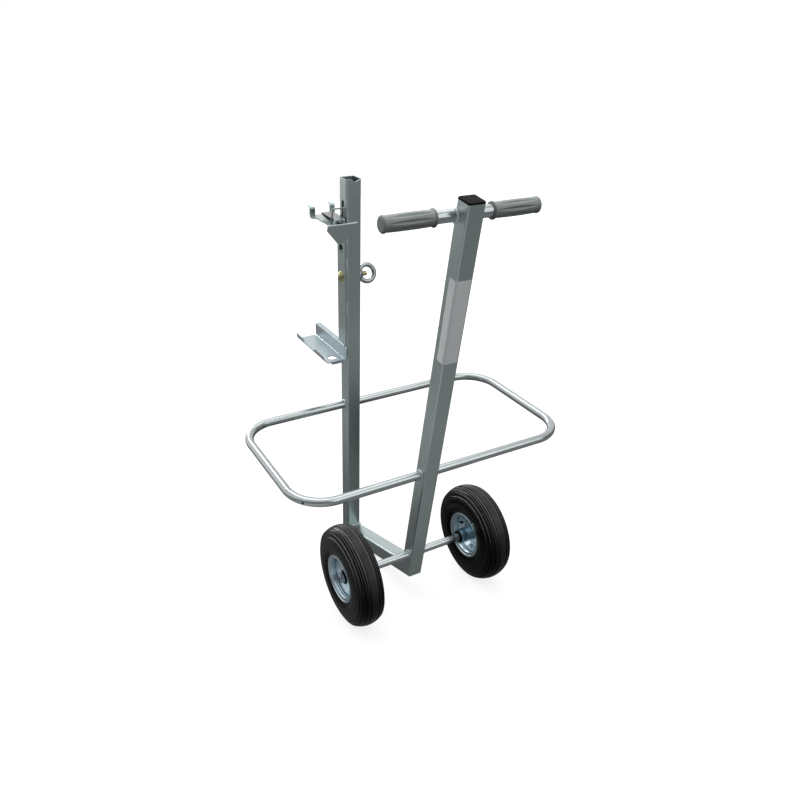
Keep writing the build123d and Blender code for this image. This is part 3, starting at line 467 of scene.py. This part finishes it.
def rounded(corners):
    """Closed outline of (across, up, radius) corners, each curved, less so where the sides are short."""
    curve_steps = 5
    straight = math.radians(3.0)
    side_share = 0.45
    outline = []
    points = [Vector((across, up)) for across, up, radius in corners]
    count = len(points)
    for index, corner in enumerate(points):
        radius = corners[index][2]
        before = points[index - 1] - corner
        after = points[(index + 1) % count] - corner
        turn = math.pi - before.angle(after)
        if turn < straight:
            outline.append(corner)
            continue
        reach = min(radius * math.tan(turn / 2), side_share * before.length, side_share * after.length)
        start = corner + before.normalized() * reach
        end = corner + after.normalized() * reach
        for step in range(curve_steps + 1):
            share = step / curve_steps
            first = start.lerp(corner, share)
            outline.append(first.lerp(corner.lerp(end, share), share))
    return outline


# Geometry trees
def geometry_tree(name, inputs):
    """Tree with a geometry in and out and the inputs named by kind of socket; also what it is given."""
    tree = bpy.data.node_groups.new(name, "GeometryNodeTree")
    sockets = tree.interface
    sockets.new_socket("Geometry", in_out="INPUT", socket_type="NodeSocketGeometry")
    for label, kind in inputs.items():
        sockets.new_socket(label, in_out="INPUT", socket_type=f"NodeSocket{kind}")
    sockets.new_socket("Geometry", in_out="OUTPUT", socket_type="NodeSocketGeometry")
    return tree, add_node(tree, "NodeGroupInput").outputs


def end_tree(tree, geometry, finish):
    whole = add_node(tree, "GeometryNodeRealizeInstances", {"Geometry": geometry})
    inputs = {"Geometry": whole.outputs[0], "Material": finish}
    coated = add_node(tree, "GeometryNodeSetMaterial", inputs)
    add_node(tree, "NodeGroupOutput", {0: coated.outputs[0]})


def run_tree(name, data, tree, values):
    """Evaluate a geometry tree on a mesh or curve and return the result as a plain mesh."""
    holder = placed(name, data)
    modifier = holder.modifiers.new(tree.name, "NODES")
    modifier.node_group = tree
    for item in tree.interface.items_tree:
        if item.in_out == "INPUT" and item.name in values:
            value = values[item.name]
            modifier[item.identifier] = list(value) if isinstance(value, Vector) else value
    mesh = evaluated_mesh(holder)
    bpy.data.objects.remove(holder)
    return mesh


# Frame pieces that keep their CAD shape: node, slot, material and width of its eased edges in millimetres
plain_frame = (
    ("winch_post", "galvanised", galvanised, 0.0),
    ("handle_tube", "galvanised", galvanised, 0.0),
    ("base_tube", "galvanised", galvanised, 0.0),
    ("post_foot", "black_plastic", black_plastic, 0.5),
    ("handle_cap", "black_plastic", black_plastic, 0.7),
    ("handlebar", "light_zinc", light_zinc, 0.0),
    ("hoop_left", "light_zinc", light_zinc, 0.0),
    ("hoop_right", "light_zinc", light_zinc, 0.0),
    ("axle", "light_zinc", light_zinc, 0.0),
    ("backing_plate", "galvanised", galvanised, 0.8),
    ("through_bolt", "yellow_zinc", yellow_zinc, 0.0),
    ("bolt_washer", "bright_zinc", bright_zinc, 0.0),
    ("eye_nut", "bright_zinc", eye_zinc, 0.0),
    ("hook_bracket", "galvanised", galvanised, 0.5),
    ("latch_pin", "bright_zinc", bright_zinc, 0.0),
    ("latch_lever", "bright_zinc", lever_steel, 0.5),
    ("latch_bail", "bright_zinc", bail_steel, 0.0),
)
for node, slot, material, ease in plain_frame:
    dress(node, material, ease * mm)


# Tray: larger radii along the folds of its two walls, eased edges elsewhere
def make_tray():
    tray_floor = 613.0 * mm
    tray_sheet = 3.0 * mm
    tray_left, tray_right = -82.5 * mm, -26.0 * mm
    outer_bend, inner_bend, edge_ease = 2.6 * mm, 1.4 * mm, 0.5 * mm
    close, fold_length = 0.1 * mm, 20.0 * mm
    outer_folds = ((tray_left, tray_floor - tray_sheet), (tray_right, tray_floor - tray_sheet))
    inner_folds = ((tray_left + tray_sheet, tray_floor), (tray_right - tray_sheet, tray_floor))

    def lies_on(edge, lines):
        middle = (edge.verts[0].co + edge.verts[1].co) / 2
        height = middle.dot(post_up)
        near = [abs(middle.x - x) < close and abs(height - level) < close for x, level in lines]
        return any(near) and edge.calc_length() > fold_length

    shell = merged_copy("tray")
    ease_edges(shell, outer_bend, steps=4, chosen=lambda edge: lies_on(edge, outer_folds))
    ease_edges(shell, inner_bend, steps=3, chosen=lambda edge: lies_on(edge, inner_folds))
    ease_edges(shell, edge_ease, steps=2, chosen=is_long_corner)
    piece = finished("tray_finish", shell, "frame", tray_zinc)
    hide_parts("tray")


make_tray()

# Grips: turned body with a belly, an inner flange and a rounded end; geometry nodes cut the flutes
grip_length = 113.0 * mm
grip_end_wall = 2.5 * mm
grip_fit = 0.05 * mm
grip_mouth_radius = 16.2 * mm
flange_half_width = 2.0 * mm
flange_radius = 15.9 * mm
flange_rise = 1.9 * mm
waist_radius = 15.2 * mm
belly_rise = 1.1 * mm
belly_power = 0.8
waist_from_mouth = 6.0 * mm
waist_from_tip = 9.0 * mm
# Rounded end, in millimetres: distance before the tip and radius
grip_end = (
    (7.0, 15.5), (5.8, 16.2), (4.4, 16.5), (3.0, 16.4),
    (1.8, 15.8), (0.9, 14.8), (0.3, 13.4), (0.0, 11.6),
)
flute_count = 8
steps_per_flute = 24
flute_depth = 2.2 * mm
flute_edge = -0.42
flute_shift = 0.5 * mm
flute_margin = 8.0 * mm
uncut_wall, cut_wall = 1.0 * mm, 2.2 * mm


def flute_tree():
    tree, given = geometry_tree("grip_flutes", {
        "Centre": "Vector", "Flutes": "Float", "Depth": "Float", "Edge": "Float",
        "Middle": "Float", "Half Length": "Float", "Finish": "Material",
    })
    position = add_node(tree, "GeometryNodeInputPosition").outputs[0]
    inputs = {0: position, 1: given["Centre"]}
    offset = add_node(tree, "ShaderNodeVectorMath", inputs, operation="SUBTRACT").outputs[0]
    apart = parts_of(tree, offset)
    angle = sums(tree, "ARCTAN2", apart["Z"], apart["Y"])
    wave = sums(tree, "COSINE", sums(tree, "MULTIPLY", angle, given["Flutes"]))
    along = sums(tree, "DIVIDE", sums(tree, "SUBTRACT", apart["X"], given["Middle"]), given["Half Length"])
    share = sums(tree, "MINIMUM", sums(tree, "MULTIPLY", along, along), 1.0)
    room = sums(tree, "SUBTRACT", 1.0, given["Edge"])
    edge = sums(tree, "MULTIPLY_ADD", share, room, given["Edge"])
    scoop = sums(tree, "MAXIMUM", sums(tree, "SUBTRACT", wave, edge), 0.0)
    channel = sums(tree, "DIVIDE", scoop, room)
    radius = radius_of(tree, apart["Y"], apart["Z"])
    outside = spread(tree, radius, 0.0, 1.0, bar_radius + uncut_wall, bar_radius + cut_wall)
    depth = sums(tree, "MULTIPLY", sums(tree, "MULTIPLY", channel, outside), given["Depth"])
    pull = sums(tree, "DIVIDE", depth, sums(tree, "MAXIMUM", radius, 1.0 * mm))
    flat = add_node(tree, "ShaderNodeCombineXYZ", {1: apart["Y"], 2: apart["Z"]}).outputs[0]
    inputs = {0: flat, "Scale": sums(tree, "MULTIPLY", pull, -1.0)}
    shift = add_node(tree, "ShaderNodeVectorMath", inputs, operation="SCALE").outputs[0]
    moved = add_node(tree, "GeometryNodeSetPosition", {"Geometry": given["Geometry"], "Offset": shift})
    end_tree(tree, moved.outputs[0], given["Finish"])
    return tree


def grip_profile():
    """Half outline of a grip from its inner end to its tip, as (distance from the middle, radius)."""
    bar_end = bar_high.x + grip_fit
    tip = bar_end + grip_end_wall
    start = tip - grip_length
    bore = bar_radius + grip_fit
    outline = [(start, bore), (start, grip_mouth_radius)]
    flange_steps = 6
    for step in range(flange_steps + 1):
        angle = math.pi * step / flange_steps
        along = start + flange_half_width - flange_half_width * math.cos(angle)
        outline.append((along, flange_radius + flange_rise * math.sin(angle)))
    body_steps = 48
    body_start, body_end = start + waist_from_mouth, tip - waist_from_tip
    for step in range(body_steps + 1):
        share = step / body_steps
        belly = waist_radius + belly_rise * math.sin(math.pi * share) ** belly_power
        outline.append((body_start + (body_end - body_start) * share, belly))
    outline += [(tip - before * mm, radius * mm) for before, radius in grip_end]
    outline += [(tip, 0.0), (bar_end, 0.0), (bar_end, bore)]
    return outline


def make_grip(side, node, tree):
    shell = turned(grip_profile(), bar_centre, side, flute_count * steps_per_flute)
    blank = mesh_from(f"{node}_blank", shell)
    body_middle = side * (bar_high.x - grip_length / 2 + flute_shift)
    mesh = run_tree(f"{node}_holder", blank, tree, {
        "Centre": bar_centre, "Flutes": float(flute_count), "Depth": flute_depth, "Edge": flute_edge,
        "Middle": body_middle, "Half Length": grip_length / 2 - flute_margin, "Finish": grip_rubber,
    })
    fluted = shell_from(mesh)
    piece = finished(f"{node}_finish", fluted, "frame", grip_rubber, sharp=40.0)
    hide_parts(node)


grip_tree = flute_tree()
make_grip(-1, "grip_left", grip_tree)
make_grip(1, "grip_right", grip_tree)

# Wheels, in the wheel's own reach (outward positive) and radius
wheel_steps = 144
wheel_radius = 130.0 * mm
crown_half = 28.0 * mm
crown_drop = 8.0 * mm
belly_reach = 36.5 * mm
belly_radius = 95.0 * mm
heel = Vector((33.4 * mm, 65.2 * mm))
tread_pitch = 0.42 * mm
wall_pitch = tread_pitch * 1.6

# Relief of the tyre, in millimetres along its section from the middle of the crown;
# a groove is its place, depth and half width
tread_grooves = ((11.3, 2.6, 2.3), (21.9, 2.6, 2.3), (32.5, 2.6, 2.3), (43.1, 2.4, 2.2))
tread_end = 50.5
wall_recess = 1.2
recess_ramp = 1.5
recess_fade = 30.0
guard_line = 76.0
guard_half = 2.2
guard_rise = 0.7

# Inside of the tyre from the bead to the crown, in millimetres of reach and radius
tyre_bead = (
    (30.0, 60.0), (30.0, 51.0), (20.4, 51.0), (20.4, 55.5),
    (22.9, 60.0), (29.5, 79.5), (30.5, 95.0), (22.5, 112.0),
)
crown_inside = 119.0 * mm

# Section of a half rim, in millimetres of reach and radius, with the radius of each bend
rim_section = (
    (30.1, 59.6, 1.0), (30.1, 52.6, 2.0), (28.2, 50.9, 2.0), (17.0, 50.9, 2.0), (0.0, 40.5, 2.0),
    (0.0, 19.05, 0.2), (2.2, 19.05, 0.2), (2.2, 38.7, 3.0), (15.6, 46.6, 1.2), (16.6, 48.7, 1.2),
    (21.0, 48.7, 1.5), (22.6, 47.6, 1.5), (24.2, 48.7, 1.2), (27.0, 48.7, 2.5), (31.0, 50.9, 3.0),
    (32.3, 55.0, 3.0), (32.3, 57.4, 1.0), (34.2, 59.4, 0.9), (34.2, 62.2, 1.3), (31.7, 62.2, 0.8),
)
valve_reach = 10.5 * mm
valve_angle = math.radians(-73.0)
valve_hole_radius = 5.25 * mm
drill_length = 32.0 * mm
drill_middle = 38.0 * mm


def circle_through(first, middle, last):
    """Centre and radius of the circle through three points of the wheel's section."""
    start_x, start_y = first
    middle_x, middle_y = middle[0] - start_x, middle[1] - start_y
    last_x, last_y = last[0] - start_x, last[1] - start_y
    middle_square = middle_x ** 2 + middle_y ** 2
    last_square = last_x ** 2 + last_y ** 2
    area = 2 * (middle_x * last_y - middle_y * last_x)
    across = (last_y * middle_square - middle_y * last_square) / area
    up = (middle_x * last_square - last_x * middle_square) / area
    return Vector((start_x + across, start_y + up)), math.hypot(across, up)


def tyre_half():
    """Outer half section from the crown's middle to the bead heel: (point, outward normal, distance)."""
    crown_radius = (crown_half ** 2 + crown_drop ** 2) / (2 * crown_drop)
    crown_centre = Vector((0, wheel_radius - crown_radius))
    shoulder = Vector((crown_half, wheel_radius - crown_drop))
    wall_centre, wall_radius = circle_through(shoulder, (belly_reach, belly_radius), heel)
    points = []
    crown_span = math.asin(crown_half / crown_radius) * crown_radius
    crown_count = round(crown_span / tread_pitch)
    for step in range(crown_count + 1):
        angle = crown_span / crown_radius * step / crown_count
        normal = Vector((math.sin(angle), math.cos(angle)))
        points.append((crown_centre + normal * crown_radius, normal, angle * crown_radius))
    start = math.atan2(shoulder.y - wall_centre.y, shoulder.x - wall_centre.x)
    stop = math.atan2(heel.y - wall_centre.y, heel.x - wall_centre.x)
    wall_count = round(abs(start - stop) * wall_radius / wall_pitch)
    for step in range(1, wall_count + 1):
        angle = start + (stop - start) * step / wall_count
        normal = Vector((math.cos(angle), math.sin(angle)))
        distance = crown_span + (start - angle) * wall_radius
        points.append((wall_centre + normal * wall_radius, normal, distance))
    return points


def groove_depth(distance):
    """How far the relief lies under the smooth section; less than nothing on a raised line."""
    place = distance / mm
    total = 0.0
    for centre, depth, half in tread_grooves:
        total += depth * max(0.0, 1.0 - (abs(place - centre) / half) ** 4)
    past = max(0.0, place - tread_end)
    total += wall_recess * min(1.0, past / recess_ramp) * max(0.0, 1.0 - past / recess_fade)
    total -= guard_rise * max(0.0, 1.0 - (abs(place - guard_line) / guard_half) ** 2)
    return total * mm


def tyre_profile():
    outside = [point - normal * groove_depth(distance) for point, normal, distance in tyre_half()]
    right_side = outside + [Vector(point) * mm for point in tyre_bead]
    left_side = [Vector((-point.x, point.y)) for point in right_side]
    return right_side + [Vector((0, crown_inside))] + left_side[:0:-1]


def rim_profile(facing):
    """Pressed half rim: rolled lip, stepped bead seat, cone and flat web; facing 1 outside, -1 inside."""
    return rounded([(facing * reach * mm, radius * mm, bend * mm) for reach, radius, bend in rim_section])


def drill_valve_hole(shell, centre, side, facing):
    """Radial hole through the cone of a rim half, where the valve goes or could go."""
    spoke = Vector((0, -side * math.sin(valve_angle), math.cos(valve_angle)))
    drill = bmesh.new()
    bmesh.ops.create_cone(
        drill, cap_ends=True, segments=40, depth=drill_length,
        radius1=valve_hole_radius, radius2=valve_hole_radius)
    place = centre + right * side * facing * valve_reach + spoke * drill_middle
    turn = spoke.to_track_quat("Z", "X").to_matrix().to_4x4()
    drill.transform(Matrix.Translation(place) @ turn)
    blank = placed("rim_blank", mesh_from("rim_blank", shell))
    cutter = placed("valve_drill", mesh_from("valve_drill", drill))
    cut = blank.modifiers.new("valve_hole", "BOOLEAN")
    cut.operation = "DIFFERENCE"
    cut.solver = "EXACT"
    cut.object = cutter
    mesh = evaluated_mesh(blank)
    for holder in (blank, cutter):
        bpy.data.objects.remove(holder)
    return shell_from(mesh)


# Wheel pieces that keep their CAD shape: name without its side, slot and material
plain_wheel = (
    ("inner_tube", "tube_rubber", tube_rubber),
    ("valve_stem", "tube_rubber", tube_rubber),
    ("valve_cap", "black_plastic", black_plastic),
    ("hub", "bright_zinc", rim_zinc),
    ("bush_outer", "black_plastic", black_plastic),
    ("bush_inner", "black_plastic", black_plastic),
    ("axle_washer", "bright_zinc", bright_zinc),
    ("split_pin", "bright_zinc", bright_zinc),
    ("circlip", "black_steel", black_steel),
)


def make_wheel(side, hand):
    body = f"wheel_{hand}"
    tyre_low, tyre_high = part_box(f"tyre_{hand}")
    centre = (tyre_low + tyre_high) / 2
    ribbed = turned(tyre_profile(), centre, side, wheel_steps)
    tyre = finished(f"tyre_{hand}_finish", ribbed, body, tyre_rubber, sharp=60.0)
    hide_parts(f"tyre_{hand}")
    for name, facing in (("rim_outer", 1), ("rim_inner", -1)):
        blank = turned(rim_profile(facing), centre, side, wheel_steps)
        drilled = drill_valve_hole(blank, centre, side, facing)
        rim = finished(f"{name}_{hand}_finish", drilled, body, rim_zinc, sharp=40.0)
        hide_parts(f"{name}_{hand}")
    for name, slot, material in plain_wheel:
        dress(f"{name}_{hand}", material)


make_wheel(-1, "left")
make_wheel(1, "right")


# Panel on the handle: a plain pale film round the near left corner
def make_panel():
    low, high = 590.0 * mm, 779.0 * mm
    lift, film = 0.05 * mm, 0.35 * mm
    left_run = 24.0 * mm
    corner_steps = 8

    def section(offset):
        """Outline across the handle, from the left face round the corner to the near face's right edge."""
        face = tube_half + offset
        inner = tube_half - tube_corner
        curve = tube_corner + offset
        outline = [(-face, -tube_half + left_run)]
        for step in range(corner_steps + 1):
            angle = math.pi / 2 * step / corner_steps
            outline.append((-inner - curve * math.cos(angle), -inner - curve * math.sin(angle)))
        outline.append((inner, -face))
        return outline

    shell = bmesh.new()
    skins = []
    for offset in (lift, lift + film):
        rows = []
        for height in (low, high):
            rows.append([shell.verts.new(on_handle(x, ahead, height)) for x, ahead in section(offset)])
        skins.append(rows)
    (under_low, under_high), (over_low, over_high) = skins
    last = len(under_low) - 1
    for index in range(last):
        after = index + 1
        shell.faces.new((under_low[index], under_low[after], under_high[after], under_high[index]))
        shell.faces.new((over_low[index], over_high[index], over_high[after], over_low[after]))
        shell.faces.new((under_low[index], over_low[index], over_low[after], under_low[after]))
        shell.faces.new((under_high[index], under_high[after], over_high[after], over_high[index]))
    for index in (0, last):
        shell.faces.new((under_low[index], under_high[index], over_high[index], over_low[index]))
    bmesh.ops.recalc_face_normals(shell, faces=shell.faces)
    finished("handle_panel", shell, "frame", panel_film, sharp=30.0)


make_panel()

# Weld beads, run by geometry nodes along the joints
weld_width = 5.0 * mm
ripple_pitch = 2.4 * mm
ripple_share = 0.1
ring_steps = 40
bead_lift = 0.6 * mm
saddle_lift = 0.5 * mm
saddle_start, saddle_stop = 92.0, 268.0
saddle_edge_lift = 0.4 * mm
saddle_edge_half = right * 15 * mm
base_inset = 1.5 * mm
base_side_end = -0.7
# Widths of the beads, as shares of weld_width
hoop_bead, axle_bead, saddle_bead, saddle_edge_bead, base_bead = 1.0, 0.9, 1.0, 0.9, 1.5


def weld_tree():
    mean_swell, uneven_share = 0.75, 0.5
    points_per_ripple = 4.0
    tree, given = geometry_tree("weld_bead", {
        "Width": "Float", "Ripple Pitch": "Float", "Ripple Share": "Float", "Finish": "Material",
    })
    width = add_node(tree, "GeometryNodeInputRadius").outputs[0]
    spacing = sums(tree, "DIVIDE", given["Ripple Pitch"], points_per_ripple)
    inputs = {"Curve": given["Geometry"], "Length": spacing}
    run = add_node(tree, "GeometryNodeResampleCurve", inputs, mode="LENGTH")
    along = add_node(tree, "GeometryNodeSplineParameter").outputs["Length"]
    turns = sums(tree, "DIVIDE", along, given["Ripple Pitch"])
    wave = sums(tree, "SINE", sums(tree, "MULTIPLY", turns, 2 * math.pi))
    uneven = add_node(tree, "ShaderNodeTexNoise", {"Scale": 160.0, "Detail": 2.0}).outputs["Fac"]
    swell = sums(tree, "MULTIPLY_ADD", wave, given["Ripple Share"], mean_swell)
    swell = sums(tree, "MULTIPLY_ADD", uneven, uneven_share, swell)
    swell = sums(tree, "MULTIPLY", swell, width)
    scale = sums(tree, "MULTIPLY", sums(tree, "DIVIDE", given["Width"], 2.0), swell)
    section = add_node(tree, "GeometryNodeCurvePrimitiveCircle", {"Resolution": 10, "Radius": 1.0})
    inputs = {"Curve": run.outputs[0], "Profile Curve": section.outputs[0], "Scale": scale, "Fill Caps": True}
    bead = add_node(tree, "GeometryNodeCurveToMesh", inputs)
    end_tree(tree, bead.outputs[0], given["Finish"])
    return tree


def ring_path(centre, first, second, radius, start=0.0, stop=360.0):
    angles = [math.radians(start + (stop - start) * step / ring_steps) for step in range(ring_steps + 1)]
    return [centre + first * radius * math.cos(angle) + second * radius * math.sin(angle) for angle in angles]


def post_welds():
    """Straight welds on the post: both ends as (across, ahead, height) in millimetres, relative width."""
    stitch = 32.0
    welds = []
    for ahead in (-1, 1):
        # Edges of the backing plate, in stitches, and sides of the tray's flange
        for start in (640.0, 735.0, 850.0, 918.0):
            welds.append(((-19.2, ahead * 19.5, start), (-19.2, ahead * 19.5, start + stitch), 0.8))
        welds.append(((-26.1, ahead * 19.9, 617.0), (-26.1, ahead * 19.9, 644.0), 0.8))
    # Top of the tray's flange, edge of the gusset, top of the bracket
    welds.append(((-27.1, -15.0, 647.2), (-27.1, 15.0, 647.2), 0.8))
    welds.append(((-22.0, -20.8, 929.6), (7.5, -20.8, 965.4), 0.7))
    welds.append(((-26.3, -15.0, 964.1), (-26.3, 15.0, 964.1), 0.8))
    return welds


def weld_lines():
    """Welded joints as (points, relative width): closed rings end where they start."""
    lines = []
    climb = (hoop_height - on_handle(0, 0, 0).dot(post_up)) / handle_up.dot(post_up)
    hoop_joints = (on_post(0, 0, hoop_height), on_handle(0, 0, climb))
    for side in (-1, 1):
        face = right * side * tube_half
        for joint in hoop_joints:
            lines.append((ring_path(joint + face, post_ahead, post_up, hoop_radius + bead_lift), hoop_bead))
        around_axle = ring_path(axle_centre + face, post_ahead, post_up, axle_radius + bead_lift)
        lines.append((around_axle, axle_bead))
        saddle = ring_path(
            bar_centre + face, handle_ahead, handle_up, bar_radius + saddle_lift, saddle_start, saddle_stop)
        lines.append((saddle, saddle_bead))
        rise = handle_up * side * (bar_radius + saddle_edge_lift) + handle_ahead * bead_lift
        saddle_edge = [bar_centre + rise - saddle_edge_half, bar_centre + rise + saddle_edge_half]
        lines.append((saddle_edge, saddle_edge_bead))
    mitre_point = on_handle(0, 0, -mitre_drop)
    base_end = on_post(0, -tube_half, base_height)
    base_axis = (base_end - mitre_point).normalized()
    base_up = right.cross(base_axis)
    reach = tube_half / post_up.dot(base_up)
    corners = ((-1, base_side_end), (-1, 1), (1, 1), (1, base_side_end))
    round_base = [base_end + right * x * (tube_half - base_inset) + post_up * reach * z for x, z in corners]
    lines.append((round_base, base_bead))
    for start, end, width in post_welds():
        lines.append(([on_post(*(value * mm for value in place)) for place in (start, end)], width))
    return lines


def add_welds():
    runs = bpy.data.curves.new("weld_runs", "CURVE")
    runs.dimensions = "3D"
    for path, width in weld_lines():
        spline = runs.splines.new("POLY")
        spline.points.add(len(path) - 1)
        for point, place in zip(spline.points, path):
            point.co = (*place, 1.0)
            point.radius = width
    mesh = run_tree("weld_holder", runs, weld_tree(), {
        "Width": weld_width, "Ripple Pitch": ripple_pitch, "Ripple Share": ripple_share, "Finish": weld_metal,
    })
    finished("frame_welds", shell_from(mesh), "frame", weld_metal, sharp=70.0)


add_welds()

# Stage: a pale floor and backdrop that read white, with a dim room on the camera's side
floor_radius = 14.0
floor_gap = 0.3 * mm
floor_colour = (0.24, 0.24, 0.24)
unseen_colour = (0.03, 0.03, 0.03)
# What glossy surfaces see of the floor: axis, brightness and the stretch over which it changes
floor_sheen = (
    ("X", 0.44, 0.14, -0.7, -0.1),
    ("X", -0.17, 0.0, -1.15, -0.8),
    ("Y", 0.15, 0.0, -0.7, -0.2),
    ("Y", -0.07, 0.0, -1.5, -0.9),
)


def stage_views(tree):
    """One where the eye, or glass, looks straight at the stage, and one where a glossy surface does."""
    path = add_node(tree, "ShaderNodeLightPath").outputs
    seen = sums(tree, "MAXIMUM", path["Is Camera Ray"], path["Is Transmission Ray"])
    return seen, path["Is Glossy Ray"]


def make_floor():
    shell = bmesh.new()
    bmesh.ops.create_circle(shell, cap_ends=True, segments=96, radius=floor_radius)
    mesh = mesh_from("floor", shell)
    floor = placed("floor", mesh)
    floor.location.z = cad_box[0][2] - floor_gap
    material = bpy.data.materials.new("pale_floor")
    tree = cleared_tree(material)
    seen, glossy = stage_views(tree)
    where = add_node(tree, "ShaderNodeTexCoord").outputs["Object"]
    away = add_node(tree, "ShaderNodeVectorMath", {0: where}, operation="LENGTH").outputs["Value"]
    glow = spread(tree, away, low=0.80, high=1.05, start=0.9, stop=2.6, smooth=True)
    apart = parts_of(tree, where)
    sheen = 0.0
    for axis, low, high, start, stop in floor_sheen:
        sheen = sums(tree, "ADD", spread(tree, apart[axis], low, high, start, stop, True), sheen)
    lit = add_node(tree, "ShaderNodeBsdfDiffuse", {"Color": opaque(floor_colour)}).outputs[0]
    white = add_node(tree, "ShaderNodeEmission", {"Strength": glow}).outputs[0]
    shown = add_node(tree, "ShaderNodeAddShader", {0: lit, 1: white}).outputs[0]
    mirrored = add_node(tree, "ShaderNodeEmission", {"Strength": sheen}).outputs[0]
    dark = add_node(tree, "ShaderNodeBsdfDiffuse", {"Color": opaque(unseen_colour)}).outputs[0]
    unseen = add_node(tree, "ShaderNodeMixShader", {0: glossy, 1: dark, 2: mirrored}).outputs[0]
    result = add_node(tree, "ShaderNodeMixShader", {0: seen, 1: unseen, 2: shown}).outputs[0]
    add_node(tree, "ShaderNodeOutputMaterial", {0: result})
    mesh.materials.append(material)


def make_room():
    mirror_tilt, ambient_tilt = 0.50, 0.30
    world = bpy.data.worlds.new("studio")
    scene.world = world
    tree = cleared_tree(world)
    seen, glossy = stage_views(tree)
    look = add_node(tree, "ShaderNodeTexCoord").outputs["Generated"]
    apart = parts_of(tree, look)
    behind = sums(tree, "MULTIPLY_ADD", apart["Y"], mirror_tilt, apart["Z"])
    facing = sums(tree, "MULTIPLY_ADD", apart["Y"], ambient_tilt, apart["Z"])
    ceiling = spread(tree, apart["Z"], low=1.0, high=0.75, start=0.3, stop=0.9, smooth=True)
    backdrop = spread(tree, behind, low=0.20, high=1.0, start=0.0, stop=0.6, smooth=True)
    ambient = spread(tree, facing, low=0.05, high=1.2, start=-0.05, stop=0.75, smooth=True)
    mirrored = sums(tree, "MULTIPLY", sums(tree, "MULTIPLY", backdrop, ceiling), glossy)
    spilled = sums(tree, "MULTIPLY", ambient, sums(tree, "SUBTRACT", 1.0, glossy))
    level = sums(tree, "MAXIMUM", sums(tree, "ADD", mirrored, spilled), seen)
    background = add_node(tree, "ShaderNodeBackground", {"Color": opaque((1, 1, 1)), "Strength": level})
    add_node(tree, "ShaderNodeOutputWorld", {0: background.outputs[0]})


def add_softbox(name, place, target, width, height, power):
    light = bpy.data.lights.new(name, "AREA")
    light.shape = "RECTANGLE"
    light.size = width
    light.size_y = height
    light.energy = power
    lamp = placed(name, light)
    lamp.location = place
    lamp.rotation_euler = (Vector(target) - Vector(place)).to_track_quat("-Z", "Y").to_euler()


def add_camera():
    """The photograph's viewpoint, for its square frame of 800 pixels."""
    camera = bpy.data.cameras.new("camera")
    camera.sensor_width = 36.0
    camera.lens = 33.11
    camera.shift_x = 0.02275
    camera.shift_y = 0.04778
    place = (-0.82312, -1.83798, 1.13513)
    across = (0.872928, -0.483392, -0.065794)
    upward = (0.236906, 0.302138, 0.923357)
    behind = (-0.426464, -0.821611, 0.378263)
    turn = Matrix((across, upward, behind)).transposed().to_4x4()
    holder = placed("camera", camera)
    holder.matrix_world = Matrix.Translation(place) @ turn
    scene.camera = holder


make_floor()
make_room()
add_softbox(
    "overhead_softbox", place=(0.2, 0.3, 3.4), target=(0, -0.2, 0.4), width=3.2, height=3.2, power=36.0)
add_softbox(
    "front_fill", place=(1.3, -3.4, 2.0), target=(0, -0.2, 0.5), width=3.0, height=3.0, power=32.0)
add_softbox(
    "back_strip", place=(-0.1, 2.2, 1.9), target=(0, -0.3, 0.2), width=0.4, height=2.8, power=24.0)
add_camera()
scene.view_settings.view_transform = "Standard"
